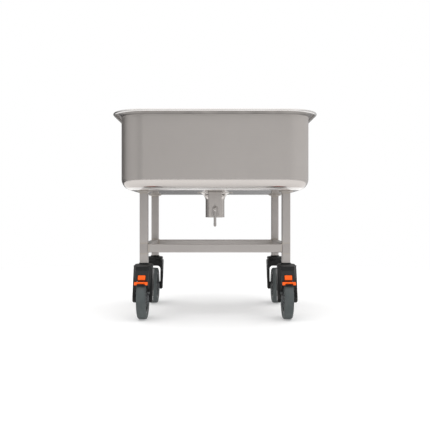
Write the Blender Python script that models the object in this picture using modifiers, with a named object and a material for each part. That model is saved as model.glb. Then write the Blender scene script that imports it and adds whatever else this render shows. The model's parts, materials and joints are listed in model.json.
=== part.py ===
"""Bulk milk tank: an open stainless tub on a square-tube frame with a bottom outlet valve and four casters.

Metres, +Z up. The origin is on the floor under the middle of the tub. The outlet lever and the braked
casters are at -Y, and every caster trails towards -Y. Pieces that touch keep GAP between them.
"""

import math

import bmesh
import bpy
from mathutils import Matrix

GAP = 0.0003  # between two pieces that touch or run on each other

# Tub
RIM_HEIGHT = 0.750  # floor to the top of the rim
TUB_LENGTH = 0.690  # along X, outside the walls
TUB_WIDTH = 0.575  # along Y, outside the walls
TUB_HEIGHT = 0.2835  # underside to the top of the rim
TUB_CORNER_RADIUS = 0.092  # upright corners, outside
TUB_FLOOR_RADIUS = 0.0426  # wall to floor, outside
SHEET = 0.002  # thickness of the tub's sheet
RIM_REACH = 0.030  # the rim beyond the walls
RIM_FILLET = 0.015  # wall to flange, outside
BEAD_DIAMETER = 0.0092  # rolled edge of the rim

# Frame
TUBE = 0.030  # width of the square tube
TUBE_WALL = 0.002
TUBE_CORNER = 0.003  # outer corner radius of the tube
LEG_INSET = 0.0685  # tub wall to the leg's outer face
RAIL_LIFT = 0.0378  # foot of the legs to the underside of the rails
PAD_DIAMETER = 0.050  # round plate on top of each leg
PAD_THICKNESS = 0.005

# Outlet neck and butterfly valve
NECK_DIAMETER = 0.076
NECK_DROP = 0.0995  # tub underside to the neck's open end
NECK_FLARE = 0.032  # radius of the flare into the tub floor
VALVE_LIFT = 0.0347  # neck's open end to the valve stem
STEM_DIAMETER = 0.010
STEM_BOSS_DIAMETER = 0.018
STEM_BOSS_REACH = 0.008  # boss beyond the neck's wall
STEM_SINK = 0.003  # end of the rear boss to the end of the stem
STEM_NOSE_STEP = 0.001  # the nose's radius is that much smaller
STEM_NOSE_LENGTH = 0.005
SEAT_THICKNESS = 0.0035
SEAT_HEIGHT = 0.028
DISC_THICKNESS = 0.005
DISC_CLEARANCE = 0.0009  # disc edge to the seat
DISC_BOSS_DIAMETER = 0.016
BRACKET_WIDTH = 0.052
BRACKET_FRONT = 0.097  # valve axis to the bracket's front face
BRACKET_SHEET = 0.0025
BUSH_DIAMETER = 0.016
BUSH_FLANGE_DIAMETER = 0.020
BUSH_FLANGE = 0.0015
QUADRANT_RADIUS = 0.031
QUADRANT_HALF_ANGLE = 32.0  # degrees
QUADRANT_SHEET = 0.002
LEVER_DIAMETER = 0.010
LEVER_LENGTH = 0.070
LEVER_GRIP_DIAMETER = 0.0108
LEVER_GRIP_LENGTH = 0.014
LEVER_GRIP_TAPER = 0.002
LEVER_HUB_DIAMETER = 0.016
LEVER_HUB_DEPTH = 0.012
NUT_DIAMETER = 0.014
NUT_HEIGHT = 0.007

# Casters
WHEEL_DIAMETER = 0.150
TYRE_WIDTH = 0.033
TYRE_SHOULDER = 0.0058  # radius of the tread's shoulders
RIM_SEAT_DIAMETER = 0.110  # wheel centre under the tyre
RIM_WIDTH = 0.028
RIM_WALL = 0.006
WEB_THICKNESS = 0.010
HUB_DIAMETER = 0.034
HUB_WIDTH = 0.048
HUB_BORE = 0.024
AXLE_DIAMETER = 0.010
AXLE_HEAD_DIAMETER = 0.017
AXLE_HEAD_HEIGHT = 0.0045
AXLE_SINK = 0.0002  # fork's outer face to the axle's heads
TRAIL = 0.038  # swivel axis to the axle
ARCH_CLEARANCE = 0.008  # tyre to the underside of the fork's arch
SHOULDER_RISE = 0.023  # arch underside to the fork's shoulder
HEAD_RISE = 0.0153  # shoulder to the top of the round head
HEAD_DIAMETER = 0.068
HEAD_BEVEL = 0.004
HEAD_ROOT = 0.006  # the head's foot above the arch's underside
SHOULDER_WIDTH = 0.0692  # across the fork at the shoulder
FORK_WIDTH = 0.073  # across the fork at the axle
FORK_INSIDE = 0.0525  # between the fork's legs
FORK_ARCH_RADIUS = 0.014
FORK_FRONT = 0.035  # swivel axis to the shoulder's front edge
FORK_BACK = 0.030
FORK_BOSS_DIAMETER = 0.032
FORK_FOOT_RADIUS = 0.0085  # outer lower corner of each fork leg
FORK_BOSS_STEP = 0.001  # the inner bosses are that much smaller
KINGPIN_DIAMETER = 0.016
KINGPIN_HEAD_DIAMETER = 0.026
KINGPIN_HEAD_HEIGHT = 0.009
KINGPIN_HEAD_LIFT = 0.0025  # arch underside to the kingpin's head
RACE_DIAMETER = 0.034
RACE_HEIGHT = 0.014
COLLAR_DIAMETER = 0.037
COLLAR_HEIGHT = 0.0045
PLUG_HEIGHT = 0.030

# Brakes of the front casters
COVER_WALL = 0.003
COVER_REACH = 0.026  # fork shoulder to the upper edge of the cover's front
COVER_WALL_ANGLE = 124.3  # degrees round the axle, from the back, to the cover's lower front edge
COVER_CLEARANCE = 0.0027  # tyre to that edge
COVER_FRONT_WIDTH = 0.047  # narrower than the head, so the button's panel stands forward
COVER_TAPER_START = 0.003  # in front of the fork's shoulder
COVER_TAPER_END = 0.021
COVER_TOP_DROP = 0.005  # fork shoulder to the top of the sloping front
COVER_BROW_RISE = 0.0142  # fork shoulder to the top of the cover
COVER_BROW_REACH = 0.0215  # fork shoulder to the front of the brow
COVER_BROW_SLOPE = 0.0020
COVER_CHEEK_DROP = 0.018  # lower edge of the front to the cheeks' front corner
COVER_CHEEK_LOW = 0.026  # axle to the cheeks' lower edge at the fork
BUTTON_WIDTH = 0.0262
BUTTON_LENGTH = 0.0178
BUTTON_PROUD = 0.0025
BUTTON_DEPTH = 0.003
BUTTON_DROP = 0.0074  # middle of the front face to the middle of the button
BUTTON_STEM_LENGTH = 0.009
BUTTON_STEM_LOW = 0.001
BUTTON_STEM_HIGH = 0.007
PEDAL_ANGLE = 133.6  # degrees round the axle, from the back
PEDAL_WIDTH = 0.0476
PEDAL_HEIGHT = 0.0055
PEDAL_END = 0.009  # length of each turned-down end
PEDAL_END_DROP = 0.0060
PEDAL_END_SLOPE = 0.002
PEDAL_THICKNESS = 0.0045
SHOE_CLEARANCE = 0.0040  # tyre to the brake shoe, released
SHOE_THICKNESS = 0.0038
SHOE_LOW = -0.008  # along the tread, from the pedal's middle
SHOE_HIGH = 0.0075
BRAKE_ARM_THICKNESS = 0.003
BRAKE_ARM_CLEARANCE = 0.0006  # tyre's side to the arm
BRAKE_ARM_WIDTH = 0.010
BRAKE_PIN_DIAMETER = 0.008
BRAKE_PIVOT_BACK = 0.002  # pivot behind the axle
BRAKE_PIVOT_RISE = 0.027  # pivot above the axle

# Facets
CORNER_STEPS = 5
NECK_SEGMENTS = 24
WHEEL_SEGMENTS = 24
SWIVEL_SEGMENTS = 20  # enough for GAP to clear a corner of the race when the fork turns
HEAD_SEGMENTS = 24
SMALL_SEGMENTS = 12

# Worked out from the sizes above
TUB_UNDERSIDE = RIM_HEIGHT - TUB_HEIGHT
LEG_X = TUB_LENGTH / 2 - LEG_INSET - TUBE / 2
LEG_Y = TUB_WIDTH / 2 - LEG_INSET - TUBE / 2
WHEEL_RADIUS = WHEEL_DIAMETER / 2
ARCH = WHEEL_DIAMETER + ARCH_CLEARANCE
SHOULDER = ARCH + SHOULDER_RISE
HEAD_TOP = SHOULDER + HEAD_RISE
COLLAR_TOP = HEAD_TOP + GAP + COLLAR_HEIGHT
LEG_FOOT = COLLAR_TOP + GAP
LEG_TOP = TUB_UNDERSIDE - GAP - PAD_THICKNESS
RAIL_HEIGHT = LEG_FOOT + RAIL_LIFT + TUBE / 2
NECK_END = TUB_UNDERSIDE - NECK_DROP
VALVE_HEIGHT = NECK_END + VALVE_LIFT
NECK_BORE_RADIUS = NECK_DIAMETER / 2 - SHEET
SEAT_BORE_RADIUS = NECK_BORE_RADIUS - GAP - SEAT_THICKNESS
STEM_HOLE_RADIUS = STEM_DIAMETER / 2 + GAP
STEM_BACK = NECK_DIAMETER / 2 + STEM_BOSS_REACH - STEM_SINK
STEM_NOSE_RADIUS = STEM_DIAMETER / 2 - STEM_NOSE_STEP
QUADRANT_BACK = BRACKET_FRONT + GAP
LEVER_BACK = QUADRANT_BACK + QUADRANT_SHEET + 2 * GAP
LEVER_FRONT = LEVER_BACK + LEVER_HUB_DEPTH
AXLE = (-TRAIL, WHEEL_RADIUS)  # Y and Z from the swivel axis at the floor
BRAKE_PIVOT = (AXLE[0] + BRAKE_PIVOT_BACK, AXLE[1] + BRAKE_PIVOT_RISE)
COVER_WIDTH = HEAD_DIAMETER

ALONG_X = Matrix.Rotation(math.radians(90), 4, "Y")
ALONG_Y = Matrix.Rotation(math.radians(-90), 4, "X")
DRAWN_IN_XZ = Matrix.Rotation(math.radians(90), 4, "X")
DRAWN_IN_YZ = Matrix(((0, 0, 1, 0), (1, 0, 0, 0), (0, 1, 0, 0), (0, 0, 0, 1)))

STEEL = ("stainless_steel", (0.60, 0.58, 0.57), 0.30, 1.0)
POLISHED = ("polished_steel", (0.72, 0.71, 0.70), 0.18, 1.0)
BLACK = ("black_polymer", (0.030, 0.030, 0.030), 0.45, 0.0)
ORANGE = ("orange_polymer", (0.95, 0.16, 0.02), 0.38, 0.0)
GREY_RUBBER = ("grey_rubber", (0.10, 0.12, 0.125), 0.70, 0.0)
SEAT_RUBBER = ("seat_rubber", (0.05, 0.05, 0.05), 0.65, 0.0)
GREY_POLYMER = ("grey_polymer", (0.22, 0.23, 0.24), 0.50, 0.0)
ZINC = ("zinc_plate", (0.68, 0.69, 0.70), 0.32, 1.0)


# Scene and finishes


def new_collection(name):
    """A collection in the scene."""
    collection = bpy.data.collections.new(name)
    bpy.context.scene.collection.children.link(collection)
    return collection


for leftover in list(bpy.data.objects):
    bpy.data.objects.remove(leftover)
TANK = new_collection("bulk_milk_tank")
CUTTERS = new_collection("cutters")


def material(finish):
    """The Principled BSDF material of a finish, made once."""
    name, colour, roughness, metallic = finish
    found = bpy.data.materials.get(name)
    if found:
        return found
    made = bpy.data.materials.new(name)
    made.use_nodes = True
    shader = made.node_tree.nodes["Principled BSDF"]
    shader.inputs["Base Color"].default_value = (*colour, 1.0)
    shader.inputs["Roughness"].default_value = roughness
    shader.inputs["Metallic"].default_value = metallic
    return made


def place(name, mesh, finish, location=(0, 0, 0), parent=None):
    """A named piece of the tank, at a place in its parent's frame."""
    if not mesh.materials:
        mesh.materials.append(material(finish))
        mesh.shade_smooth()
        mesh.set_sharp_from_angle(angle=math.radians(35))
    piece = bpy.data.objects.new(name, mesh)
    piece.location = location
    piece.parent = parent
    TANK.objects.link(piece)
    return piece


def axis_empty(name, location, parent=None):
    """An empty on a joint's axis, for the pieces that turn about it."""
    empty = bpy.data.objects.new(name, None)
    empty.location = location
    empty.parent = parent
    TANK.objects.link(empty)
    return empty


# Shapes


def baked(blank, frame):
    """The evaluated shape of a blank as a welded mesh, moved by frame; the blank is removed."""
    CUTTERS.objects.link(blank)
    shape = blank.evaluated_get(bpy.context.evaluated_depsgraph_get())
    mesh = bpy.data.meshes.new_from_object(shape)
    mesh.materials.clear()
    mesh.transform(blank.matrix_world)
    bpy.data.objects.remove(blank)
    body = bmesh.new()
    body.from_mesh(mesh)
    bmesh.ops.remove_doubles(body, verts=body.verts, dist=1e-6)
    bmesh.ops.recalc_face_normals(body, faces=body.faces)
    body.to_mesh(mesh)
    body.free()
    mesh.transform(frame)
    return mesh


def combined(base, tools, operation):
    """The base mesh with a Boolean step for each tool mesh."""
    body = bpy.data.objects.new("body", base)
    cutters = [bpy.data.objects.new("cutter", tool) for tool in tools]
    for cutter in cutters:
        CUTTERS.objects.link(cutter)
        cutter.hide_render = True
        cutter.display_type = "WIRE"
        step = body.modifiers.new("Boolean", "BOOLEAN")
        step.operation = operation
        step.object = cutter
    result = baked(body, Matrix())
    for cutter in cutters:
        bpy.data.objects.remove(cutter)
    return result


def joined(base, *others):
    """One body from meshes that overlap."""
    return combined(base, others, "UNION")


def cut(base, *tools):
    """The base mesh without its tools."""
    return combined(base, tools, "DIFFERENCE")


def arc(centre, radius, start, end, steps=CORNER_STEPS):
    """Points along an arc with both its ends; the angles are in degrees."""
    angles = [math.radians(start + (end - start) * step / steps) for step in range(steps + 1)]
    return [(centre[0] + radius * math.cos(a), centre[1] + radius * math.sin(a)) for a in angles]


def rounded_rectangle(half_x, half_y, radius, steps=CORNER_STEPS):
    """Points round a rectangle whose corners are arcs."""
    points = []
    for quarter, (side_x, side_y) in enumerate(((1, 1), (-1, 1), (-1, -1), (1, -1))):
        centre = (side_x * (half_x - radius), side_y * (half_y - radius))
        points += arc(centre, radius, 90 * quarter, 90 * quarter + 90, steps)
    return points


def circle(centre, radius, segments=SMALL_SEGMENTS):
    """Points round a circle."""
    return arc(centre, radius, 0, 360, segments)[:-1]


def prism(outlines, thickness, frame=Matrix()):
    """A plate centred on its drawing plane; outlines inside the first one are holes."""
    curve = bpy.data.curves.new("outline", "CURVE")
    curve.dimensions = "2D"
    curve.fill_mode = "BOTH"
    curve.extrude = thickness / 2
    for outline in outlines:
        spline = curve.splines.new("POLY")
        spline.points.add(len(outline) - 1)
        for point, (x, y) in zip(spline.points, outline):
            point.co = (x, y, 0, 1)
        spline.use_cyclic_u = True
    mesh = baked(bpy.data.objects.new("plate", curve), frame)
    bpy.data.curves.remove(curve)
    return mesh


def box(low, high, frame=Matrix()):
    """A block between two corners."""
    outline = [(low[0], low[1]), (high[0], low[1]), (high[0], high[1]), (low[0], high[1])]
    middle = Matrix.Translation((0, 0, (low[2] + high[2]) / 2))
    return prism([outline], high[2] - low[2], frame @ middle)


def turned(profile, segments=SMALL_SEGMENTS, frame=Matrix()):
    """A solid turned about Z from (radius, height) points down its outer side; one off the axis closes."""
    mesh = bpy.data.meshes.new("profile")
    links = [(i, i + 1) for i in range(len(profile) - 1)]
    if profile[0][0] > 0:
        links.append((len(profile) - 1, 0))
    mesh.from_pydata([(radius, 0, height) for radius, height in profile], links, [])
    blank = bpy.data.objects.new("turned", mesh)
    screw = blank.modifiers.new("Turn", "SCREW")
    screw.steps = screw.render_steps = segments
    screw.use_merge_vertices = True
    screw.merge_threshold = 1e-6
    return baked(blank, frame)


def cylinder(radius, low, high, frame=Matrix(), segments=SMALL_SEGMENTS):
    """A cylinder along the frame's Z axis."""
    return turned([(0, high), (radius, high), (radius, low), (0, low)], segments, frame)


def moved(x=0, y=0, z=0):
    """A shift."""
    return Matrix.Translation((x, y, z))


def facing(angle, y, z):
    """A frame at (0, y, z) whose Z axis points at an angle in the YZ plane and whose X axis is X."""
    out_y, out_z = math.cos(math.radians(angle)), math.sin(math.radians(angle))
    return moved(0, y, z) @ Matrix(((1, 0, 0, 0), (0, out_z, out_y, 0), (0, -out_y, out_z, 0), (0, 0, 0, 1)))


def about(pivot, mesh):
    """The mesh shifted so that the pivot (Y, Z) becomes its origin."""
    mesh.transform(moved(0, -pivot[0], -pivot[1]))
    return mesh


# Tub


def tub_profile():
    """(Distance out from the wall, height) from the underside round the rim and down to the tub's floor."""
    floor_centre = (-TUB_FLOOR_RADIUS, TUB_UNDERSIDE + TUB_FLOOR_RADIUS)
    rim_centre = (RIM_FILLET, RIM_HEIGHT - SHEET - RIM_FILLET)
    bead_radius = BEAD_DIAMETER / 2
    bead_centre = (RIM_REACH - bead_radius, RIM_HEIGHT - bead_radius)
    bead_start = 180 - math.degrees(math.asin(1 - SHEET / bead_radius))
    return (
        arc(floor_centre, TUB_FLOOR_RADIUS, -90, 0)
        + arc(rim_centre, RIM_FILLET, 180, 90, 4)
        + arc(bead_centre, bead_radius, bead_start, 450, 9)
        + arc(rim_centre, RIM_FILLET + SHEET, 90, 180, 4)
        + arc(floor_centre, TUB_FLOOR_RADIUS - SHEET, 0, -90)
    )


def tub_mesh():
    """The tub as one sheet: rounded-rectangular rings skinned along the profile, with the outlet's hole."""
    body = bmesh.new()
    rings = []
    for out, height in tub_profile():
        outline = rounded_rectangle(TUB_LENGTH / 2 + out, TUB_WIDTH / 2 + out, TUB_CORNER_RADIUS + out, 7)
        rings.append([body.verts.new((x, y, height)) for x, y in outline])
    for lower, upper in zip(rings, rings[1:]):
        for i in range(len(lower)):
            body.faces.new((lower[i - 1], lower[i], upper[i], upper[i - 1]))
    body.faces.new(reversed(rings[0]))
    body.faces.new(rings[-1])
    mesh = bpy.data.meshes.new("tub")
    body.to_mesh(mesh)
    body.free()
    hole = NECK_DIAMETER / 2 + NECK_FLARE + GAP
    low, high = TUB_UNDERSIDE - SHEET, TUB_UNDERSIDE + 2 * SHEET
    return cut(mesh, cylinder(hole, low, high, segments=NECK_SEGMENTS))


# Frame


def square_tube(length, frame=Matrix()):
    """A length of square tube, centred, along the frame's Z axis."""
    half, inner = TUBE / 2, TUBE / 2 - TUBE_WALL
    outlines = [
        rounded_rectangle(half, half, TUBE_CORNER, 3),
        rounded_rectangle(inner, inner, TUBE_CORNER - TUBE_WALL, 3),
    ]
    return prism(outlines, length, frame)


def leg_mesh():
    """A leg: square tube with a round plate welded on its top."""
    weld = TUBE_WALL / 2
    tube = square_tube(LEG_TOP + weld - LEG_FOOT, moved(0, 0, (LEG_TOP + weld + LEG_FOOT) / 2))
    return joined(tube, cylinder(PAD_DIAMETER / 2, LEG_TOP, TUB_UNDERSIDE - GAP))


def build_frame():
    """The legs, and the rails between them."""
    leg = leg_mesh()
    for name, x, y in corners():
        place("leg_" + name, leg, STEEL, (x, y, 0))
    rail_along_x = square_tube(2 * LEG_X - TUBE - 2 * GAP, ALONG_X)
    rail_along_y = square_tube(2 * LEG_Y - TUBE - 2 * GAP, ALONG_Y)
    place("rail_front", rail_along_x, STEEL, (0, -LEG_Y, RAIL_HEIGHT))
    place("rail_rear", rail_along_x, STEEL, (0, LEG_Y, RAIL_HEIGHT))
    place("rail_left", rail_along_y, STEEL, (-LEG_X, 0, RAIL_HEIGHT))
    place("rail_right", rail_along_y, STEEL, (LEG_X, 0, RAIL_HEIGHT))


def corners():
    """Name and place of each leg and its caster; f is the front, at -Y."""
    return (
        ("fl", -LEG_X, -LEG_Y),
        ("fr", LEG_X, -LEG_Y),
        ("rl", -LEG_X, LEG_Y),
        ("rr", LEG_X, LEG_Y),
    )


# Outlet


def neck_mesh():
    """The flared outlet neck with the two bosses that the valve stem runs in."""
    outer, bore, end = NECK_DIAMETER / 2, NECK_BORE_RADIUS, NECK_END
    centre = (outer + NECK_FLARE, TUB_UNDERSIDE - NECK_FLARE)
    profile = arc(centre, NECK_FLARE, 90, 180) + [(outer, end), (bore, end)]
    profile += arc(centre, NECK_FLARE + SHEET, 180, 90)
    neck = turned(profile, NECK_SEGMENTS)
    stem_line = moved(0, 0, VALVE_HEIGHT) @ ALONG_Y
    reach = outer + STEM_BOSS_REACH
    bosses = cylinder(STEM_BOSS_DIAMETER / 2, -reach, reach, stem_line)
    passage = cylinder(bore, VALVE_HEIGHT - STEM_BOSS_DIAMETER, VALVE_HEIGHT + STEM_BOSS_DIAMETER,
                       segments=NECK_SEGMENTS)
    stem_hole = cylinder(STEM_HOLE_RADIUS, -reach - SHEET, STEM_BACK + GAP, stem_line)
    return cut(joined(neck, cut(bosses, passage)), stem_hole)


def bracket_mesh():
    """The folded channel in front of the neck: its face carries the stem's outer bush."""
    half, back = BRACKET_WIDTH / 2, -NECK_DIAMETER / 4
    low, high = NECK_END, TUB_UNDERSIDE - GAP
    channel = box((-half, -BRACKET_FRONT, low), (half, back, high))
    inside = box((-half + BRACKET_SHEET, -BRACKET_FRONT + BRACKET_SHEET, low - SHEET),
                 (half - BRACKET_SHEET, back + SHEET, high + SHEET))
    outer = NECK_DIAMETER / 2
    centre = (outer + NECK_FLARE, TUB_UNDERSIDE - NECK_FLARE)
    room = [(0, high + SHEET), (outer + NECK_FLARE + GAP, high + SHEET)]
    room += arc(centre, NECK_FLARE - GAP, 90, 180) + [(outer + GAP, low - SHEET), (0, low - SHEET)]
    bush_hole = cylinder(BUSH_DIAMETER / 2 + GAP, -BRACKET_FRONT - SHEET, -BRACKET_FRONT + 2 * BRACKET_SHEET,
                         moved(0, 0, VALVE_HEIGHT) @ ALONG_Y)
    return cut(channel, inside, turned(room, NECK_SEGMENTS), bush_hole)


def seat_mesh():
    """The rubber ring in the neck that the disc closes on, with the stem's two holes."""
    outer, low, high = NECK_BORE_RADIUS - GAP, -SEAT_HEIGHT / 2, SEAT_HEIGHT / 2
    profile = [(outer, high), (outer, low), (SEAT_BORE_RADIUS, low), (SEAT_BORE_RADIUS, high)]
    ring = turned(profile, NECK_SEGMENTS)
    return cut(ring, cylinder(STEM_HOLE_RADIUS, -outer - SHEET, outer + SHEET, ALONG_Y))


def disc_mesh():
    """The butterfly disc, open: upright in the YZ plane with its boss along the stem."""
    radius = SEAT_BORE_RADIUS - DISC_CLEARANCE
    disc = cylinder(radius, -DISC_THICKNESS / 2, DISC_THICKNESS / 2, ALONG_X, NECK_SEGMENTS)
    boss_end = radius - DISC_THICKNESS
    boss = cylinder(DISC_BOSS_DIAMETER / 2, -boss_end, boss_end, ALONG_Y)
    return cut(joined(disc, boss), cylinder(STEM_HOLE_RADIUS, -NECK_DIAMETER, NECK_DIAMETER, ALONG_Y))


def lever_mesh():
    """The lever: a hub on the stem and a rod with a round, slightly thicker end, hanging down."""
    middle = -(LEVER_BACK + LEVER_FRONT) / 2
    hub = cylinder(LEVER_HUB_DIAMETER / 2, -LEVER_FRONT, -LEVER_BACK, ALONG_Y)
    rod_radius, grip_radius = LEVER_DIAMETER / 2, LEVER_GRIP_DIAMETER / 2
    grip_top = -LEVER_LENGTH + LEVER_GRIP_LENGTH
    profile = [(0, -LEVER_HUB_DIAMETER / 4), (rod_radius, -LEVER_HUB_DIAMETER / 4)]
    profile += [(rod_radius, grip_top + LEVER_GRIP_TAPER), (grip_radius, grip_top)]
    profile += arc((0, grip_radius - LEVER_LENGTH), grip_radius, 0, -90, 4)
    rod = turned(profile, SMALL_SEGMENTS, moved(0, middle))
    hole = cylinder(STEM_HOLE_RADIUS, -LEVER_FRONT - SHEET, -LEVER_BACK + SHEET, ALONG_Y)
    return cut(joined(hub, rod), hole)


def quadrant_mesh():
    """The sector plate behind the lever, round the bush."""
    start, end = -90 - QUADRANT_HALF_ANGLE, -90 + QUADRANT_HALF_ANGLE
    collar = STEM_BOSS_DIAMETER / 2 + SHEET
    outline = arc((0, 0), QUADRANT_RADIUS, start, end) + arc((0, 0), collar, 0, 180)
    hole = circle((0, 0), BUSH_DIAMETER / 2 + GAP)
    return prism([outline, hole], QUADRANT_SHEET, moved(0, -QUADRANT_BACK - QUADRANT_SHEET / 2) @ DRAWN_IN_XZ)


def bush_mesh():
    """The stem's outer bush: its flange is behind the bracket's face and its nose passes the quadrant."""
    nose, flange = BUSH_DIAMETER / 2, BUSH_FLANGE_DIAMETER / 2
    seat = -BRACKET_FRONT + BRACKET_SHEET + GAP
    tip = -QUADRANT_BACK - QUADRANT_SHEET
    profile = [(flange, seat + BUSH_FLANGE), (flange, seat), (nose, seat), (nose, tip)]
    profile += [(STEM_HOLE_RADIUS, tip), (STEM_HOLE_RADIUS, seat + BUSH_FLANGE)]
    return turned(profile, SMALL_SEGMENTS, ALONG_Y)


def nut_mesh():
    """The hexagonal cap nut on the stem's front end."""
    front = -LEVER_FRONT - GAP
    blank = cylinder(NUT_DIAMETER / 2, front - NUT_HEIGHT, front, ALONG_Y, 6)
    bottom = front - STEM_NOSE_LENGTH - GAP
    return cut(blank, cylinder(STEM_NOSE_RADIUS + GAP, bottom, front + SHEET, ALONG_Y))


def stem_mesh():
    """The valve stem, with a thinner threaded nose for the nut."""
    radius, nose = STEM_DIAMETER / 2, STEM_NOSE_RADIUS
    shoulder = -LEVER_FRONT
    profile = [(0, STEM_BACK), (radius, STEM_BACK), (radius, shoulder), (nose, shoulder)]
    profile += [(nose, shoulder - STEM_NOSE_LENGTH), (0, shoulder - STEM_NOSE_LENGTH)]
    return turned(profile, SMALL_SEGMENTS, ALONG_Y)


def build_outlet():
    """The outlet's fixed pieces, and the stem, disc and lever that turn about the stem."""
    place("outlet_neck", neck_mesh(), STEEL)
    place("lever_bracket", bracket_mesh(), STEEL)
    stem_axis = axis_empty("valve_axis", (0, 0, VALVE_HEIGHT))
    place("valve_seat", seat_mesh(), SEAT_RUBBER, parent=stem_axis)
    place("stem_bush", bush_mesh(), GREY_POLYMER, parent=stem_axis)
    place("quadrant_plate", quadrant_mesh(), STEEL, parent=stem_axis)
    place("valve_disc", disc_mesh(), POLISHED, parent=stem_axis)
    place("valve_stem", stem_mesh(), POLISHED, parent=stem_axis)
    place("lever", lever_mesh(), POLISHED, parent=stem_axis)
    place("lever_nut", nut_mesh(), POLISHED, parent=stem_axis)


# Casters


def fork_front_edge(height):
    """Y of the fork's front edge at a height: straight from the shoulder to the axle boss."""
    share = (SHOULDER - height) / (SHOULDER - AXLE[1])
    return -FORK_FRONT + share * (AXLE[0] - FORK_BOSS_DIAMETER / 2 + FORK_FRONT)


def fork_mesh(braked):
    """The fork: an arch cut from its front and side outlines, a round head on top, bosses at the axle."""
    low = AXLE[1] - FORK_BOSS_DIAMETER / 2 - GAP
    outer, top, inner = FORK_WIDTH / 2, SHOULDER_WIDTH / 2, FORK_INSIDE / 2
    foot_x, foot_z = outer - FORK_FOOT_RADIUS, low + FORK_FOOT_RADIUS
    arch_x, arch_z = inner - FORK_ARCH_RADIUS, ARCH - FORK_ARCH_RADIUS
    front = arc((-foot_x, foot_z), FORK_FOOT_RADIUS, 270, 180) + [(-top, SHOULDER), (top, SHOULDER)]
    front += arc((foot_x, foot_z), FORK_FOOT_RADIUS, 0, -90) + [(inner, low)]
    front += arc((arch_x, arch_z), FORK_ARCH_RADIUS, 0, 90, 4)
    front += arc((-arch_x, arch_z), FORK_ARCH_RADIUS, 90, 180, 4)
    front += [(-inner, low)]
    side = [(FORK_BACK, SHOULDER), (FORK_BACK, (ARCH + SHOULDER) / 2)]
    side += arc(AXLE, FORK_BOSS_DIAMETER / 2, 0, -180, 8)
    side += [(-FORK_FRONT, SHOULDER)]
    arch = prism([front], 6 * FORK_FRONT, DRAWN_IN_XZ)
    arch = combined(arch, (prism([side], 2 * FORK_WIDTH, DRAWN_IN_YZ),), "INTERSECT")
    crown, root = HEAD_DIAMETER / 2, ARCH + HEAD_ROOT
    head = turned([(0, HEAD_TOP), (crown - HEAD_BEVEL, HEAD_TOP), (crown, HEAD_TOP - HEAD_BEVEL),
                   (crown, root), (0, root)], HEAD_SEGMENTS)
    axle_line = moved(0, *AXLE) @ ALONG_X
    hub_face = HUB_WIDTH / 2 + GAP
    boss, root = FORK_BOSS_DIAMETER / 2 - FORK_BOSS_STEP, inner + 2 * FORK_BOSS_STEP
    bosses = [cylinder(boss, hub_face, root, axle_line), cylinder(boss, -root, -hub_face, axle_line)]
    tools = [turned(axle_room(), SMALL_SEGMENTS, axle_line), turned(swivel_room(), SWIVEL_SEGMENTS)]
    if braked:
        pin_line = moved(0, *BRAKE_PIVOT) @ ALONG_X
        reach = brake_pin_reach() + GAP
        tools.append(cylinder(BRAKE_PIN_DIAMETER / 2 + GAP, -reach, reach, pin_line))
    return cut(joined(arch, head, *bosses), *tools)


def axle_room():
    """Profile of what the fork leaves open for the axle and its sunk heads."""
    hole, sink = AXLE_DIAMETER / 2 + GAP, AXLE_HEAD_DIAMETER / 2 + GAP
    floor, far = axle_face() - AXLE_HEAD_HEIGHT - GAP, FORK_WIDTH
    return [(0, far), (sink, far), (sink, floor), (hole, floor),
            (hole, -floor), (sink, -floor), (sink, -far), (0, -far)]


def swivel_room():
    """Profile of what the fork leaves open for the race, the kingpin and the kingpin's head."""
    race, shank, head = RACE_DIAMETER / 2 + GAP, KINGPIN_DIAMETER / 2 + GAP, KINGPIN_HEAD_DIAMETER / 2 + GAP
    ledge, ceiling = HEAD_TOP - RACE_HEIGHT - GAP, kingpin_seat() + GAP
    return [(0, HEAD_TOP + SHEET), (race, HEAD_TOP + SHEET), (race, ledge), (shank, ledge),
            (shank, ceiling), (head, ceiling), (head, ARCH - SHEET), (0, ARCH - SHEET)]


def axle_face():
    """X of the outer face of the axle's heads, just inside the fork's legs."""
    return FORK_WIDTH / 2 - AXLE_SINK


def kingpin_seat():
    """Height of the top of the kingpin's head, inside the fork."""
    return ARCH + KINGPIN_HEAD_LIFT + KINGPIN_HEAD_HEIGHT


def brake_pin_reach():
    """X of the ends of the brake lever's pins, half-way into the fork's legs."""
    return (FORK_INSIDE + FORK_WIDTH) / 4


def kingpin_mesh():
    """The kingpin: its head carries the fork, and its shank runs up through the plug."""
    shank, head, seat = KINGPIN_DIAMETER / 2, KINGPIN_HEAD_DIAMETER / 2, kingpin_seat()
    top = COLLAR_TOP + PLUG_HEIGHT
    return turned([(0, top), (shank, top), (shank, seat), (head, seat),
                   (head, seat - KINGPIN_HEAD_HEIGHT), (0, seat - KINGPIN_HEAD_HEIGHT)], SWIVEL_SEGMENTS)


def race_mesh():
    """The swivel bearing round the kingpin, in the fork's head."""
    outer, bore = RACE_DIAMETER / 2, KINGPIN_DIAMETER / 2 + GAP
    low = HEAD_TOP - RACE_HEIGHT
    return turned([(outer, HEAD_TOP), (outer, low), (bore, low), (bore, HEAD_TOP)], SWIVEL_SEGMENTS)


def plug_mesh():
    """The expander plug in the leg, with the round collar that the leg stands on."""
    half = TUBE / 2 - TUBE_WALL - GAP
    collar = cylinder(COLLAR_DIAMETER / 2, HEAD_TOP + GAP, COLLAR_TOP, segments=SWIVEL_SEGMENTS)
    root = COLLAR_TOP - COLLAR_HEIGHT / 2
    top = COLLAR_TOP + PLUG_HEIGHT
    block = prism([rounded_rectangle(half, half, TUBE_CORNER, 3)], top - root, moved(0, 0, (top + root) / 2))
    bore = cylinder(KINGPIN_DIAMETER / 2 + GAP, HEAD_TOP - SHEET, top + SHEET, segments=SWIVEL_SEGMENTS)
    return cut(joined(collar, block), bore)


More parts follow.
